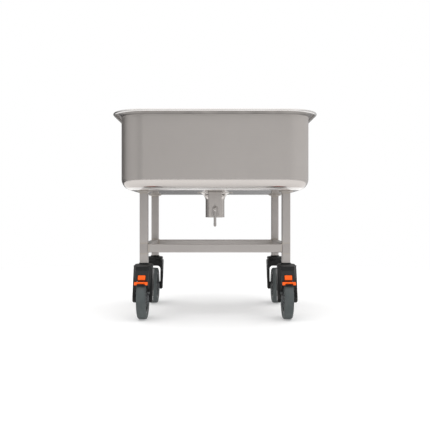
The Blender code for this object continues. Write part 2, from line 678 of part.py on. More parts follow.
def axle_mesh():
    """The axle with its two flat heads, sunk in the fork's legs."""
    shaft, head = AXLE_DIAMETER / 2, AXLE_HEAD_DIAMETER / 2
    face, under = axle_face(), axle_face() - AXLE_HEAD_HEIGHT
    return turned([(0, face), (head, face), (head, under), (shaft, under),
                   (shaft, -under), (head, -under), (head, -face), (0, -face)], SMALL_SEGMENTS, ALONG_X)


def wheel_frame():
    """A frame along the axle, turned half a facet so that the tyre stands on a flat."""
    return ALONG_X @ Matrix.Rotation(math.pi / WHEEL_SEGMENTS, 4, "Z")


def tyre_mesh():
    """The tyre: a flat crown with round shoulders."""
    tread = WHEEL_RADIUS / math.cos(math.pi / WHEEL_SEGMENTS)
    half, seat = TYRE_WIDTH / 2, RIM_SEAT_DIAMETER / 2 + GAP
    upper = (tread - TYRE_SHOULDER, half - TYRE_SHOULDER)
    lower = (upper[0], -upper[1])
    profile = [(seat + SHEET, half)] + arc(upper, TYRE_SHOULDER, 90, 0, 3)
    profile += arc(lower, TYRE_SHOULDER, 0, -90, 3)
    profile += [(seat + SHEET, -half), (seat, -RIM_WIDTH / 2), (seat, RIM_WIDTH / 2)]
    return turned(profile, WHEEL_SEGMENTS, wheel_frame())


def rim_mesh():
    """The wheel centre: a rim, a web and a hub."""
    seat, half = RIM_SEAT_DIAMETER / 2, RIM_WIDTH / 2
    hub, bore, hub_half, web = HUB_DIAMETER / 2, HUB_BORE / 2, HUB_WIDTH / 2, WEB_THICKNESS / 2
    lower = [(seat, -half), (seat - RIM_WALL, -half), (seat - RIM_WALL, -web),
             (hub, -web), (hub, -hub_half), (bore, -hub_half)]
    upper = [(radius, -height) for radius, height in reversed(lower)]
    return turned(lower + upper, WHEEL_SEGMENTS, wheel_frame())


def wheel_bush_mesh():
    """The plain bearing bush that runs through the hub."""
    outer, bore, end = HUB_BORE / 2 - GAP, AXLE_DIAMETER / 2 + GAP, HUB_WIDTH / 2
    return turned([(outer, end), (outer, -end), (bore, -end), (bore, end)], SMALL_SEGMENTS, ALONG_X)


# Brake


def cover_front():
    """Upper and lower edge (Y, Z) of the cover's sloping front face."""
    angle = math.radians(COVER_WALL_ANGLE)
    radius = WHEEL_RADIUS + COVER_CLEARANCE + COVER_WALL
    upper = (-FORK_FRONT - COVER_REACH, SHOULDER - COVER_TOP_DROP)
    return upper, (AXLE[0] + radius * math.cos(angle), AXLE[1] + radius * math.sin(angle))


def button_frame():
    """A frame in the middle of the cover's front face, its Z axis straight out of the face."""
    (top_y, top_z), (low_y, low_z) = cover_front()
    slope = math.degrees(math.atan2(top_z - low_z, top_y - low_y))
    return facing(slope + 90, (top_y + low_y) / 2, (top_z + low_z) / 2) @ moved(0, -BUTTON_DROP)


def cover_plan(inset):
    """The cover seen from above: as wide as the head at the fork, and narrower in front of it."""
    wide, slim = COVER_WIDTH / 2 - inset, COVER_FRONT_WIDTH / 2 - inset
    start, end, far = -FORK_FRONT - COVER_TAPER_START, -FORK_FRONT - COVER_TAPER_END, -WHEEL_DIAMETER
    outline = [(-wide, 0), (-wide, start), (-slim, end), (-slim, far),
               (slim, far), (slim, end), (wide, start), (wide, 0)]
    return prism([outline], 2 * HEAD_TOP)


def cover_mesh():
    """The brake cover: a brow round the head and a sloping panel with the button's window."""
    upper, lower = cover_front()
    cheek_low = AXLE[1] + COVER_CHEEK_LOW
    back, brow, top = -FORK_FRONT - GAP, -FORK_FRONT - COVER_BROW_REACH, SHOULDER + COVER_BROW_RISE
    outline = [(back, top), ((back + brow) / 2, top - COVER_BROW_SLOPE / 2)]
    outline += [(brow, top - 2 * COVER_BROW_SLOPE), (brow, upper[1] + COVER_WALL), upper, lower]
    outline += [(lower[0] + COVER_WALL, lower[1] - COVER_CHEEK_DROP),
                (fork_front_edge(cheek_low) - GAP, cheek_low)]
    hood = combined(prism([outline], COVER_WIDTH, DRAWN_IN_YZ), (cover_plan(0),), "INTERSECT")
    lean = math.atan2(upper[0] - lower[0], upper[1] - lower[1])
    wall = COVER_WALL / math.cos(lean)
    far = lower[0] - WHEEL_RADIUS
    ceiling = top - 2 * COVER_BROW_SLOPE - COVER_WALL
    room = [(0, ceiling), (brow + COVER_WALL, ceiling), (brow + COVER_WALL, upper[1])]
    room += [(upper[0] + wall, upper[1] - COVER_WALL / 2), (lower[0] + wall, lower[1])]
    room += [(far, lower[1]), (far, AXLE[1]), (0, AXLE[1])]
    inside = combined(prism([room], COVER_WIDTH, DRAWN_IN_YZ), (cover_plan(COVER_WALL),), "INTERSECT")
    half_x, half_y = BUTTON_WIDTH / 2 + GAP, BUTTON_LENGTH / 2 + GAP
    window = box((-half_x, -half_y, -2 * COVER_WALL), (half_x, half_y, COVER_WALL), button_frame())
    return cut(hood, inside, window)


def button_mesh():
    """The release button: a cap in the window and a short stem behind its upper half."""
    half_x, half_y, side = BUTTON_WIDTH / 2, BUTTON_LENGTH / 2, BUTTON_WIDTH / 4
    cap = box((-half_x, -half_y, -BUTTON_DEPTH), (half_x, half_y, BUTTON_PROUD), button_frame())
    stem = box((-side, BUTTON_STEM_LOW, -BUTTON_STEM_LENGTH), (side, BUTTON_STEM_HIGH, 0), button_frame())
    return joined(cap, stem)


def pedal_frame():
    """A frame on the tread in front of the cover, its Z axis straight out of the tread."""
    angle = math.radians(PEDAL_ANGLE)
    tread_y, tread_z = WHEEL_RADIUS * math.cos(angle), WHEEL_RADIUS * math.sin(angle)
    return facing(PEDAL_ANGLE, AXLE[0] + tread_y, AXLE[1] + tread_z)


def pedal_mesh():
    """The orange pedal bar with its turned-down ends."""
    half, top, low = PEDAL_WIDTH / 2, PEDAL_HEIGHT / 2, -PEDAL_HEIGHT / 2
    drop, foot = low - PEDAL_END_DROP, half - PEDAL_END
    bend = foot - PEDAL_END_SLOPE
    outline = [(-half, top), (-half, drop), (-foot, drop), (-bend, low),
               (bend, low), (foot, drop), (half, drop), (half, top)]
    back = SHOE_CLEARANCE + SHOE_THICKNESS + GAP
    return prism([outline], PEDAL_THICKNESS, pedal_frame() @ moved(z=back + PEDAL_THICKNESS / 2))


def brake_lever_mesh():
    """The brake lever: two arms beside the tyre, their pins, and the shoe between them."""
    outer = TYRE_WIDTH / 2 + BRAKE_ARM_CLEARANCE + BRAKE_ARM_THICKNESS
    back = SHOE_CLEARANCE + SHOE_THICKNESS
    shoe = box((-outer, SHOE_LOW, SHOE_CLEARANCE), (outer, SHOE_HIGH, back), pedal_frame())
    tip = pedal_frame() @ moved(z=SHOE_CLEARANCE + SHOE_THICKNESS / 2)
    tip_y, tip_z = tip.translation.y, tip.translation.z
    slope = math.degrees(math.atan2(tip_z - BRAKE_PIVOT[1], tip_y - BRAKE_PIVOT[0]))
    half = BRAKE_ARM_WIDTH / 2
    outline = arc(BRAKE_PIVOT, half, slope + 90, slope + 270, 6)
    for turn in (-90, 90):
        angle = math.radians(slope + turn)
        outline.append((tip_y + half * math.cos(angle), tip_z + half * math.sin(angle)))
    pieces = []
    pin_line = moved(0, *BRAKE_PIVOT) @ ALONG_X
    for side in (-1, 1):
        middle = side * (outer - BRAKE_ARM_THICKNESS / 2)
        pieces.append(prism([outline], BRAKE_ARM_THICKNESS, moved(middle) @ DRAWN_IN_YZ))
        ends = sorted((middle, side * brake_pin_reach()))
        pieces.append(cylinder(BRAKE_PIN_DIAMETER / 2, *ends, pin_line))
    return joined(shoe, *pieces)


def build_casters():
    """Four casters; the front two have brakes. Each shares its meshes with the others."""
    plug, kingpin, race, axle = plug_mesh(), kingpin_mesh(), race_mesh(), axle_mesh()
    tyre, rim, bush = tyre_mesh(), rim_mesh(), wheel_bush_mesh()
    forks = {True: fork_mesh(True), False: fork_mesh(False)}
    cover, button = cover_mesh(), button_mesh()
    lever, pedal = about(BRAKE_PIVOT, brake_lever_mesh()), about(BRAKE_PIVOT, pedal_mesh())
    for corner, x, y in corners():
        braked = corner.startswith("f")
        name = "caster_" + corner
        swivel = axis_empty(name + "_swivel_axis", (x, y, 0))
        place(name + "_plug", plug, BLACK, parent=swivel)
        place(name + "_kingpin", kingpin, ZINC, parent=swivel)
        place(name + "_race", race, ZINC, parent=swivel)
        place(name + "_fork", forks[braked], BLACK, parent=swivel)
        axle_axis = axis_empty(name + "_axle_axis", (0, *AXLE), swivel)
        place(name + "_axle", axle, ZINC, parent=axle_axis)
        place(name + "_bush", bush, GREY_POLYMER, parent=axle_axis)
        place(name + "_rim", rim, GREY_POLYMER, parent=axle_axis)
        place(name + "_tyre", tyre, GREY_RUBBER, parent=axle_axis)
        if braked:
            place(name + "_cover", cover, BLACK, parent=swivel)
            place(name + "_button", button, ORANGE, parent=swivel)
            brake_axis = axis_empty(name + "_brake_axis", (0, *BRAKE_PIVOT), swivel)
            place(name + "_brake_lever", lever, BLACK, parent=brake_axis)
            place(name + "_pedal", pedal, ORANGE, parent=brake_axis)


place("tub_shell", tub_mesh(), STEEL)
build_frame()
build_outlet()
build_casters()
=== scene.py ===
"""The looks of the bulk milk tank: a stainless tub on a square-tube frame, its outlet valve and four casters.

Every piece stands in the row frame, in metres: the floor is at Z = 0, the outlet lever is at -Y.
"""

import json
import logging
import math
from dataclasses import dataclass
from enum import Enum
from typing import Sequence, Union

import bmesh
import bpy
from mathutils import Matrix, Vector


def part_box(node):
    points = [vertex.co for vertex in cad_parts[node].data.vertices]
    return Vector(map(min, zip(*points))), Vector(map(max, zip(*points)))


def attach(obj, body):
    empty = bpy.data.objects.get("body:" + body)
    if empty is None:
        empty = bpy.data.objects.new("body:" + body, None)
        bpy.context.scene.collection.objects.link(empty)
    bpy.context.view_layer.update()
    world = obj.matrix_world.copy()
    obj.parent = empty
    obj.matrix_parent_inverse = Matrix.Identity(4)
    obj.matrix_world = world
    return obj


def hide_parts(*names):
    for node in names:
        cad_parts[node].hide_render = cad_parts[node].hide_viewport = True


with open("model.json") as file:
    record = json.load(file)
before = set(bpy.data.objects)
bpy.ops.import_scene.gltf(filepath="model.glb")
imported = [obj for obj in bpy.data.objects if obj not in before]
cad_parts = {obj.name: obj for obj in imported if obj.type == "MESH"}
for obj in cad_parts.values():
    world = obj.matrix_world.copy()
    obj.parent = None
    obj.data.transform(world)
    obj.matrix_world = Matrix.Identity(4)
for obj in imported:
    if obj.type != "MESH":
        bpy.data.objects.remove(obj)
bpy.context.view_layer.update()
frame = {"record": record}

log = logging.getLogger("milk_tank")

Point = tuple[float, float]
Place = tuple[float, float, float]
Path = tuple[list[Place], bool]  # its points, and whether it closes
Colour = tuple[float, float, float]
WHITE = (1.0, 1.0, 1.0, 1.0)
Mesh = bpy.types.Mesh

GAP = 0.0003  # between two pieces that touch or run on each other
WELD_LIFT = 0.0003  # how far a weld's middle stands off the faces that it joins
TUB_LENGTH = 0.690
TUB_WIDTH = 0.575
TUB_CORNER = 0.092
TUB_FLOOR_RADIUS = 0.0426
RIM_REACH = 0.030  # the rim beyond the walls
BEAD_DIAMETER = 0.0092  # the rim's rolled edge
ALONG_X = Matrix.Rotation(math.radians(90), 4, "Y")
ALONG_Y = Matrix.Rotation(math.radians(-90), 4, "X")
DRAWN_IN_XZ = Matrix.Rotation(math.radians(90), 4, "X")
DRAWN_IN_YZ = Matrix(((0, 0, 1, 0), (1, 0, 0, 0), (0, 1, 0, 0), (0, 0, 0, 1)))


# Node trees


class Tree:
    """A node tree that is filled one node at a time."""

    def __init__(self, tree: bpy.types.NodeTree) -> None:
        """Keeps the tree to fill."""
        self.tree = tree

    def node(self, kind: str, settings: dict | None = None, inputs: dict | None = None) -> bpy.types.Node:
        """Adds a node.

        Args:
            kind: The node's type.
            settings: Its properties, set first; "stops" holds a ramp's (position, colour) pairs.
            inputs: Values or links by socket name or number.

        Returns:
            The new node.
        """
        made = self.tree.nodes.new(kind)
        for name, value in (settings or {}).items():
            if name == "stops":
                self.set_stops(made.color_ramp, value)
            else:
                setattr(made, name, value)
        for key, value in (inputs or {}).items():
            self.feed(made.inputs[key], value)
        return made

    @staticmethod
    def set_stops(ramp: bpy.types.ColorRamp, stops: Sequence[tuple[float, Colour]]) -> None:
        """Gives a ramp its stops, from the lowest up."""
        while len(ramp.elements) < len(stops):
            ramp.elements.new(1.0)
        for element, (position, colour) in zip(ramp.elements, stops):
            element.position = position
            element.color = (*colour, 1.0)

    def feed(self, socket: bpy.types.NodeSocket, value: object) -> None:
        """Links or sets an input socket."""
        if isinstance(value, Value):
            value = value.socket
        if isinstance(value, bpy.types.NodeSocket):
            self.tree.links.new(value, socket)
        else:
            socket.default_value = value

    def maths(self, operation: str, *terms: "Number") -> "Value":
        """A Math node on values and numbers."""
        made = self.node("ShaderNodeMath", {"operation": operation}, dict(enumerate(terms)))
        return Value(self, made.outputs[0])


class Value:
    """A number in a node tree: arithmetic on it adds Math nodes."""

    def __init__(self, tree: Tree, socket: bpy.types.NodeSocket) -> None:
        """Wraps an output socket."""
        self.tree = tree
        self.socket = socket

    def __add__(self, other: "Number") -> "Value":
        """self + other"""
        return self.tree.maths("ADD", self, other)

    def __sub__(self, other: "Number") -> "Value":
        """self - other"""
        return self.tree.maths("SUBTRACT", self, other)

    def __rsub__(self, other: "Number") -> "Value":
        """other - self"""
        return self.tree.maths("SUBTRACT", other, self)

    def __mul__(self, other: "Number") -> "Value":
        """self * other"""
        return self.tree.maths("MULTIPLY", self, other)

    def __truediv__(self, other: "Number") -> "Value":
        """self / other"""
        return self.tree.maths("DIVIDE", self, other)

    def __pow__(self, other: "Number") -> "Value":
        """self ** other"""
        return self.tree.maths("POWER", self, other)

    def __abs__(self) -> "Value":
        """abs(self)"""
        return self.tree.maths("ABSOLUTE", self)

    __radd__ = __add__
    __rmul__ = __mul__

    def most(self, other: "Number") -> "Value":
        """The larger of the two."""
        return self.tree.maths("MAXIMUM", self, other)

    def rise(self, low: float, high: float) -> "Value":
        """0 up to low, 1 from high on, and smooth between; low may be the larger one."""
        settings = {"interpolation_type": "SMOOTHSTEP"}
        made = self.tree.node("ShaderNodeMapRange", settings, {0: self, 1: low, 2: high})
        return Value(self.tree, made.outputs[0])


Number = Union[float, Value]


class Paint(Tree):
    """A material that is mixed node by node round one Principled shader."""

    def __init__(self, name: str, **constants: float) -> None:
        """Starts a material; constants are set straight on the shader's sockets, with _ for a space."""
        self.material = bpy.data.materials.new(name)
        self.material.use_nodes = True
        super().__init__(self.material.node_tree)
        self.shader = self.tree.nodes["Principled BSDF"]
        for socket, value in constants.items():
            self.shader.inputs[socket.replace("_", " ")].default_value = value
        self.place = self.node("ShaderNodeTexCoord").outputs["Object"]
        split = self.node("ShaderNodeSeparateXYZ", inputs={0: self.place})
        self.x, self.y, self.z = (Value(self, socket) for socket in split.outputs)

    def noise(self, stretch: Place, detail: float = 3.0, shift: float = 0.0) -> Value:
        """Noise about 0.5, with its own number of waves per metre along each axis."""
        kind = "ShaderNodeVectorMath"
        away = self.node(kind, {"operation": "ADD"}, {0: self.place, 1: (shift, shift, shift)}).outputs[0]
        scaled = self.node(kind, {"operation": "MULTIPLY"}, {0: away, 1: stretch}).outputs[0]
        inputs = {"Vector": scaled, "Scale": 1.0, "Detail": detail}
        return Value(self, self.node("ShaderNodeTexNoise", inputs=inputs).outputs[0])

    def facets(self, scale: float) -> Value:
        """The random tone of each cell of a crystal pattern."""
        cells = self.node("ShaderNodeTexVoronoi", inputs={"Vector": self.place, "Scale": scale})
        split = self.node("ShaderNodeSeparateXYZ", inputs={0: cells.outputs["Color"]})
        return Value(self, split.outputs[0])

    def upward(self) -> Value:
        """How far the surface faces up (1) or down (-1)."""
        normal = self.node("ShaderNodeNewGeometry").outputs["Normal"]
        return Value(self, self.node("ShaderNodeSeparateXYZ", inputs={0: normal}).outputs[2])

    def mixed(self, factor: Number, first: object, second: object) -> bpy.types.NodeSocket:
        """A colour between two colours."""
        inputs = {0: factor, 6: self.opaque(first), 7: self.opaque(second)}
        return self.node("ShaderNodeMix", {"data_type": "RGBA"}, inputs).outputs[2]

    @staticmethod
    def opaque(colour: object) -> object:
        """A plain colour with its alpha; a link stays as it is."""
        return (*colour, 1.0) if isinstance(colour, tuple) else colour

    def between(self, factor: Value, first: Number, second: Number) -> Value:
        """A value between two values."""
        return first + factor * (second - first)

    def relief(self, height: Value, distance: float, strength: float = 1.0) -> bpy.types.NodeSocket:
        """A bump of that height in metres where the value is 1."""
        inputs = {"Strength": strength, "Distance": distance, "Height": height}
        return self.node("ShaderNodeBump", inputs=inputs).outputs[0]

    def finish(self, **varying: object) -> bpy.types.Material:
        """Links what varies to the shader, with _ for a space.

        Returns:
            The finished material.
        """
        for socket, value in varying.items():
            self.feed(self.shader.inputs[socket.replace("_", " ")], self.opaque(value))
        return self.material


# Finishes


class Grain(Enum):
    """Which way a ground finish runs, as noise waves per metre along X, Y and Z."""

    ROUND = (4.0, 4.0, 900.0)
    UPRIGHT = (900.0, 900.0, 5.0)
    ALONG_X = (5.0, 900.0, 900.0)
    ALONG_Y = (900.0, 5.0, 900.0)
    NONE = (160.0, 160.0, 160.0)


class Finish:
    """A finish that makes its material once."""

    def material(self) -> bpy.types.Material:
        """The material of this finish."""
        return bpy.data.materials.get(self.name) or self.mix()


@dataclass(frozen=True)
class Steel(Finish):
    """Stainless steel with a ground or polished surface."""

    name: str
    tint: Colour = (0.610, 0.572, 0.545)
    roughness: float = 0.32
    grain: Grain = Grain.NONE
    scratch: float = 0.00002
    uneven: float = 0.06

    def mix(self) -> bpy.types.Material:
        """Fine grinding lines, cloudy patches and faint water marks on bare metal."""
        paint = Paint(self.name, Metallic=1.0)
        return self.dress(paint, self.roughness, None)

    def dress(self, paint: Paint, roughness: Number, tint: object) -> bpy.types.Material:
        """Lays the grinding and the patches over a base.

        Args:
            paint: The material being mixed.
            roughness: The finish before its variation.
            tint: The base colour, or None for the plain tint.

        Returns:
            The finished material.
        """
        lines = paint.noise(self.grain.value, 4.0)
        clouds = paint.noise((9.0, 9.0, 9.0), 4.0, 3.7)
        marks = paint.noise((55.0, 55.0, 38.0), 5.0, 8.1).rise(0.56, 0.74)
        rough = roughness + (lines - 0.5) * 0.16 + (clouds - 0.5) * self.uneven + marks * 0.035
        darker = tuple(channel * 0.88 for channel in self.tint)
        base = tint or self.tint
        colour = paint.mixed((lines - 0.5) * 0.5 + (clouds - 0.5) * 0.8 + 0.28, base, darker)
        normal = paint.relief(lines, self.scratch)
        return paint.finish(Base_Color=colour, Roughness=rough, Normal=normal)


@dataclass(frozen=True)
class TubSteel(Steel):
    """The tub's sheet: satin walls, and polished metal at the floor radius and the rolled edge, with painted
    highlights and painted shade laid into its colour.
    """

    underside: float = 0.4665
    rim_height: float = 0.750
    polished: float = 0.15
    mirror: float = 0.11
    # The bead tint below is a painted highlight on the rolled edge.
    bright: Colour = (0.79, 0.775, 0.76)
    # A painted highlight for the crease above the floor radius.
    crease_highlight: Colour = (0.97, 0.955, 0.94)

    def mix(self) -> bpy.types.Material:
        """Polished floor radius and rolled edge on satin walls, with painted highlights on the rolled edge and
        in the crease above the floor radius, painted shade on the bead's upper faces, the floor radius and the
        underside, and a painted shadow under the rim.
        """
        paint = Paint(self.name, Metallic=1.0)
        up, edge, top = paint.upward(), self.underside + TUB_FLOOR_RADIUS, self.rim_height
        low = paint.z.rise(edge + 0.001, edge - 0.012)
        bead_edge = RIM_REACH - BEAD_DIAMETER
        bead = self.out(paint).rise(bead_edge - 0.0013, bead_edge + 0.0002)
        # Mask for the underside: a mirror finish, and painted shade in its colour.
        beneath = up.rise(-0.97, -0.997) * paint.z.rise(edge + 0.1, edge)
        # Mask for the crease above the floor radius, which gets a painted highlight.
        crease = up.rise(-0.74, -0.84) * (1.0 - beneath) * low
        # Mask for the painted shadow under the rim.
        rim_shadow = up.rise(-0.02, -0.25) * paint.z.rise(top - 0.022, top - 0.015) * (1.0 - bead)
        inside = up.rise(0.93, 0.995) * (1.0 - bead)
        wavy = paint.noise((26.0, 26.0, 7.0), 2.0, 5.3)
        rough = paint.between(low.most(bead) * (1.0 - inside * 0.35), self.roughness, self.polished)
        rough = paint.between(crease, paint.between(beneath, rough, self.mirror), 0.30) + (wavy - 0.5) * 0.03
        # Painted highlight: the rolled edge is lighter in colour; painted shade then darkens its upward faces.
        tint = paint.mixed(bead, self.tint, self.bright)
        tint = paint.mixed(up.rise(0.35, 0.75) * bead, tint, self.toned(0.62))
        # Painted shade: the floor radius is a little darker in colour.
        tint = paint.mixed(low * 0.6, tint, self.toned(0.90))
        # Painted highlight in the crease above the floor radius.
        tint = paint.mixed(crease, tint, self.crease_highlight)
        # Painted shade on the tub's underside.
        tint = paint.mixed(beneath, tint, self.toned(0.57))
        # Painted shadow under the rim.
        tint = paint.mixed(rim_shadow, tint, self.toned(0.26))
        return self.dress(paint, rough, tint)

    def out(self, paint: Paint) -> Value:
        """The distance out from the tub's wall, over its rounded-rectangular plan."""
        sides = ((paint.x, TUB_LENGTH), (paint.y, TUB_WIDTH))
        beyond_x, beyond_y = [(abs(axis) - size / 2 + TUB_CORNER).most(0.0) for axis, size in sides]
        return (beyond_x * beyond_x + beyond_y * beyond_y) ** 0.5 - TUB_CORNER

    def toned(self, factor: float) -> Colour:
        """The sheet's tint made darker."""
        return tuple(channel * factor for channel in self.tint)


@dataclass(frozen=True)
class FrameSteel(Steel):
    """Ground square tube with a faint heat tint beside its welds."""

    joint: Place = (0.2615, 0.204, 0.2542)
    top: float = 0.4612
    half: float = 0.015

    def mix(self) -> bpy.types.Material:
        """Straw and blue bands lie 2 to 7 mm from each weld."""
        paint = Paint(self.name, Metallic=1.0)
        away = [abs(abs(axis) - place) for axis, place in zip((paint.x, paint.y), self.joint)]
        from_rail = away[0].most(away[1]).most(abs(paint.z - self.joint[2])) - self.half
        from_top = abs(paint.z - self.top)
        broken = paint.noise((130.0, 130.0, 130.0), 3.0, 1.9) * 0.006
        near = paint.maths("MINIMUM", abs(from_rail), from_top) + broken
        straw = near.rise(0.0115, 0.006)
        blue = near.rise(0.0065, 0.0035)
        warm = tuple(channel * factor for channel, factor in zip(self.tint, (1.0, 0.93, 0.76)))
        cold = tuple(channel * factor for channel, factor in zip(self.tint, (0.80, 0.83, 0.93)))
        tint = paint.mixed(straw * 0.55, self.tint, warm)
        tint = paint.mixed(blue * 0.5, tint, cold)
        return self.dress(paint, self.roughness - blue * 0.03, tint)


@dataclass(frozen=True)
class Moulded(Finish):
    """Injection-moulded plastic with a fine grain, scuffs and a little dust low down."""

    name: str
    colour: Colour
    roughness: float
    scuff: Colour
    grain: float = 0.00006
    dust: float = 0.25
    specular: float = 0.5
    # glow is a painted glow: emission in the plastic's own colour, though the plastic is no lamp.
    glow: float = 0.0

    def mix(self) -> bpy.types.Material:
        """Grain, scuffs and dust over one colour."""
        paint = Paint(self.name, Specular_IOR_Level=self.specular, Emission_Color=(*self.colour, 1.0),
                      Emission_Strength=self.glow)
        fine = paint.noise((1500.0, 1500.0, 1500.0), 2.0)
        patches = paint.noise((38.0, 38.0, 38.0), 4.0, 2.3)
        scuffs = paint.noise((420.0, 90.0, 160.0), 5.0, 6.1).rise(0.60, 0.80)
        dusty = paint.z.rise(0.17, 0.03) * patches.rise(0.40, 0.75) * self.dust
        colour = paint.mixed(scuffs * 0.30, self.colour, self.scuff)
        colour = paint.mixed(dusty, colour, (0.20, 0.19, 0.175))
        rough = self.roughness + (patches - 0.5) * 0.12 + scuffs * 0.10 + dusty * 0.4
        normal = paint.relief(fine + scuffs * 0.5, self.grain)
        return paint.finish(Base_Color=colour, Roughness=rough, Normal=normal)


@dataclass(frozen=True)
class Rubber(Finish):
    """Soft grey rubber: rolling lines round the tread, dust and a slightly pitted skin."""

    name: str
    colour: Colour
    worn: Colour
    roughness: float = 0.62

    def mix(self) -> bpy.types.Material:
        """The rolling lines change across the tyre and hardly along it."""
        paint = Paint(self.name, Specular_IOR_Level=0.35)
        rolling = paint.noise((700.0, 12.0, 12.0), 4.0)
        patches = paint.noise((45.0, 30.0, 30.0), 5.0, 4.4)
        pits = paint.noise((900.0, 900.0, 900.0), 2.0, 7.7)
        wear = patches.rise(0.35, 0.72) * 0.5 + rolling.rise(0.45, 0.75) * 0.4
        colour = paint.mixed(wear, self.colour, self.worn)
        rough = self.roughness + (patches - 0.5) * 0.16 + (rolling - 0.5) * 0.10
        normal = paint.relief(rolling * 0.7 + pits * 0.6, 0.00012)
        return paint.finish(Base_Color=colour, Roughness=rough, Normal=normal)


@dataclass(frozen=True)
class ZincPlate(Finish):
    """Zinc-plated steel: small crystals under a slightly yellow passivated skin."""

    name: str
    colour: Colour = (0.56, 0.57, 0.59)
    roughness: float = 0.34

    def mix(self) -> bpy.types.Material:
        """Crystal tones, a cloudy tint and fine handling marks."""
        paint = Paint(self.name, Metallic=1.0)
        crystals = paint.facets(900.0)
        clouds = paint.noise((70.0, 70.0, 70.0), 4.0, 1.3)
        colour = paint.mixed(clouds.rise(0.42, 0.70) * 0.5, self.colour, (0.60, 0.56, 0.47))
        colour = paint.mixed(crystals * 0.25, colour, (0.40, 0.41, 0.44))
        rough = self.roughness + (crystals - 0.5) * 0.10 + (clouds - 0.5) * 0.12
        return paint.finish(Base_Color=colour, Roughness=rough, Normal=paint.relief(clouds, 0.0001))


TUB = TubSteel("tub_satin_steel", roughness=0.33, grain=Grain.ROUND)
NECK = Steel("neck_polished_steel", roughness=0.17, grain=Grain.ROUND, scratch=0.00001)
FRAME_TINT = (0.520, 0.488, 0.468)
LEG = FrameSteel("leg_ground_steel", tint=FRAME_TINT, roughness=0.36, grain=Grain.UPRIGHT)
RAIL_X = FrameSteel("cross_rail_ground_steel", tint=FRAME_TINT, roughness=0.36, grain=Grain.ALONG_X)
RAIL_Y = FrameSteel("side_rail_ground_steel", tint=FRAME_TINT, roughness=0.36, grain=Grain.ALONG_Y)
PLATE = Steel("bracket_ground_steel", roughness=0.34, grain=Grain.UPRIGHT)
# The sector plate is a real piece; its darker tint is painted shade, standing in for the shade round the lever
# on the bracket.
SECTOR = Steel("sector_painted_shade_steel", tint=(0.50, 0.47, 0.45), roughness=0.40, uneven=0.10)
WELD = Steel("weld_metal", tint=(0.50, 0.465, 0.43), roughness=0.30, scratch=0.0001, uneven=0.2)
FITTING = Steel("valve_satin_steel", tint=(0.53, 0.50, 0.48), roughness=0.28, uneven=0.08)
ZINC = ZincPlate("zinc_plated_steel")
BLACK = Moulded("black_polyamide", (0.0125, 0.0125, 0.0130), 0.42, (0.040, 0.040, 0.040), specular=0.25)
# The orange plastic's glow is painted light that makes it brighter than the lamps alone would.
ORANGE = Moulded("orange_polyamide", (0.98, 0.128, 0.006), 0.40, (0.98, 0.170, 0.02), dust=0.04,
                 specular=0.18, glow=0.07)
WHEEL_GREY = Moulded("grey_polypropylene", (0.115, 0.122, 0.128), 0.40, (0.20, 0.21, 0.215))
BUSHING = Moulded("white_acetal", (0.60, 0.60, 0.58), 0.35, (0.45, 0.44, 0.42), dust=0.1)
TYRE = Rubber("grey_wheel_rubber", (0.072, 0.084, 0.085), (0.106, 0.119, 0.119))
SEAL = Rubber("black_seal_rubber", (0.030, 0.030, 0.031), (0.055, 0.054, 0.052), 0.50)


# Outlines


def arc(centre: Point, radius: float, start: float, end: float, steps: int = 12) -> list[Point]:
    """Points along an arc with both its ends; the angles are in degrees."""
    angles = [math.radians(start + (end - start) * step / steps) for step in range(steps + 1)]
    return [(centre[0] + radius * math.cos(a), centre[1] + radius * math.sin(a)) for a in angles]


def circle(centre: Point, radius: float, segments: int = 48) -> list[Point]:
    """Points round a circle."""
    return arc(centre, radius, 0, 360, segments)[:-1]


def rounded_rectangle(half_x: float, half_y: float, radius: float, steps: int = 6) -> list[Point]:
    """Points round a rectangle whose corners are arcs."""
    points = []
    for quarter, (side_x, side_y) in enumerate(((1, 1), (-1, 1), (-1, -1), (1, -1))):
        centre = (side_x * (half_x - radius), side_y * (half_y - radius))
        points += arc(centre, radius, 90 * quarter, 90 * quarter + 90, steps)
    return points


def mirrored(profile: Sequence[Point], middle: Sequence[Point] = ()) -> list[Point]:
    """A (radius, place) profile, what lies in its middle, and its mirror image."""
    return [*profile, *middle, *((radius, -place) for radius, place in reversed(profile))]


def filleted(points: Sequence[Point], radius: float, steps: int = 4, closed: bool = True) -> list[Point]:
    """The outline with its corners rounded.

    Args:
        points: The outline's corners in order.
        radius: The radius wanted; short sides get less.
        steps: Facets in each fillet.
        closed: False leaves the two end points as they are.

    Returns:
        The points of the rounded outline.
    """
    rounded = []
    for i, point in enumerate(points):
        here = Vector(point)
        before, after = Vector(points[i - 1]) - here, Vector(points[(i + 1) % len(points)]) - here
        angle = before.angle(after, math.pi)
        if (not closed and i in (0, len(points) - 1)) or angle > math.radians(168):
            rounded.append(tuple(point))
            continue
        reach = min(radius / math.tan(angle / 2), 0.46 * before.length, 0.46 * after.length)
        middle = (before.normalized() + after.normalized()).normalized()
        centre = here + middle * (reach / math.cos(angle / 2))
        first, last = here + before.normalized() * reach - centre, here + after.normalized() * reach - centre
        start = math.atan2(first.y, first.x)
        sweep = (math.atan2(last.y, last.x) - start + math.pi) % (2 * math.pi) - math.pi
        ends = math.degrees(start), math.degrees(start + sweep)
        rounded += arc(tuple(centre), first.length, *ends, steps)
    return rounded


# Shapes


def moved(x: float = 0, y: float = 0, z: float = 0) -> Matrix:
    """A shift."""
    return Matrix.Translation((x, y, z))


def facing(angle: float, y: float, z: float) -> Matrix:
    """A frame at (0, y, z) whose Z axis points at an angle in the YZ plane and whose X axis is X."""
    out_y, out_z = math.cos(math.radians(angle)), math.sin(math.radians(angle))
    return moved(0, y, z) @ Matrix(((1, 0, 0, 0), (0, out_z, out_y, 0), (0, -out_y, out_z, 0), (0, 0, 0, 1)))


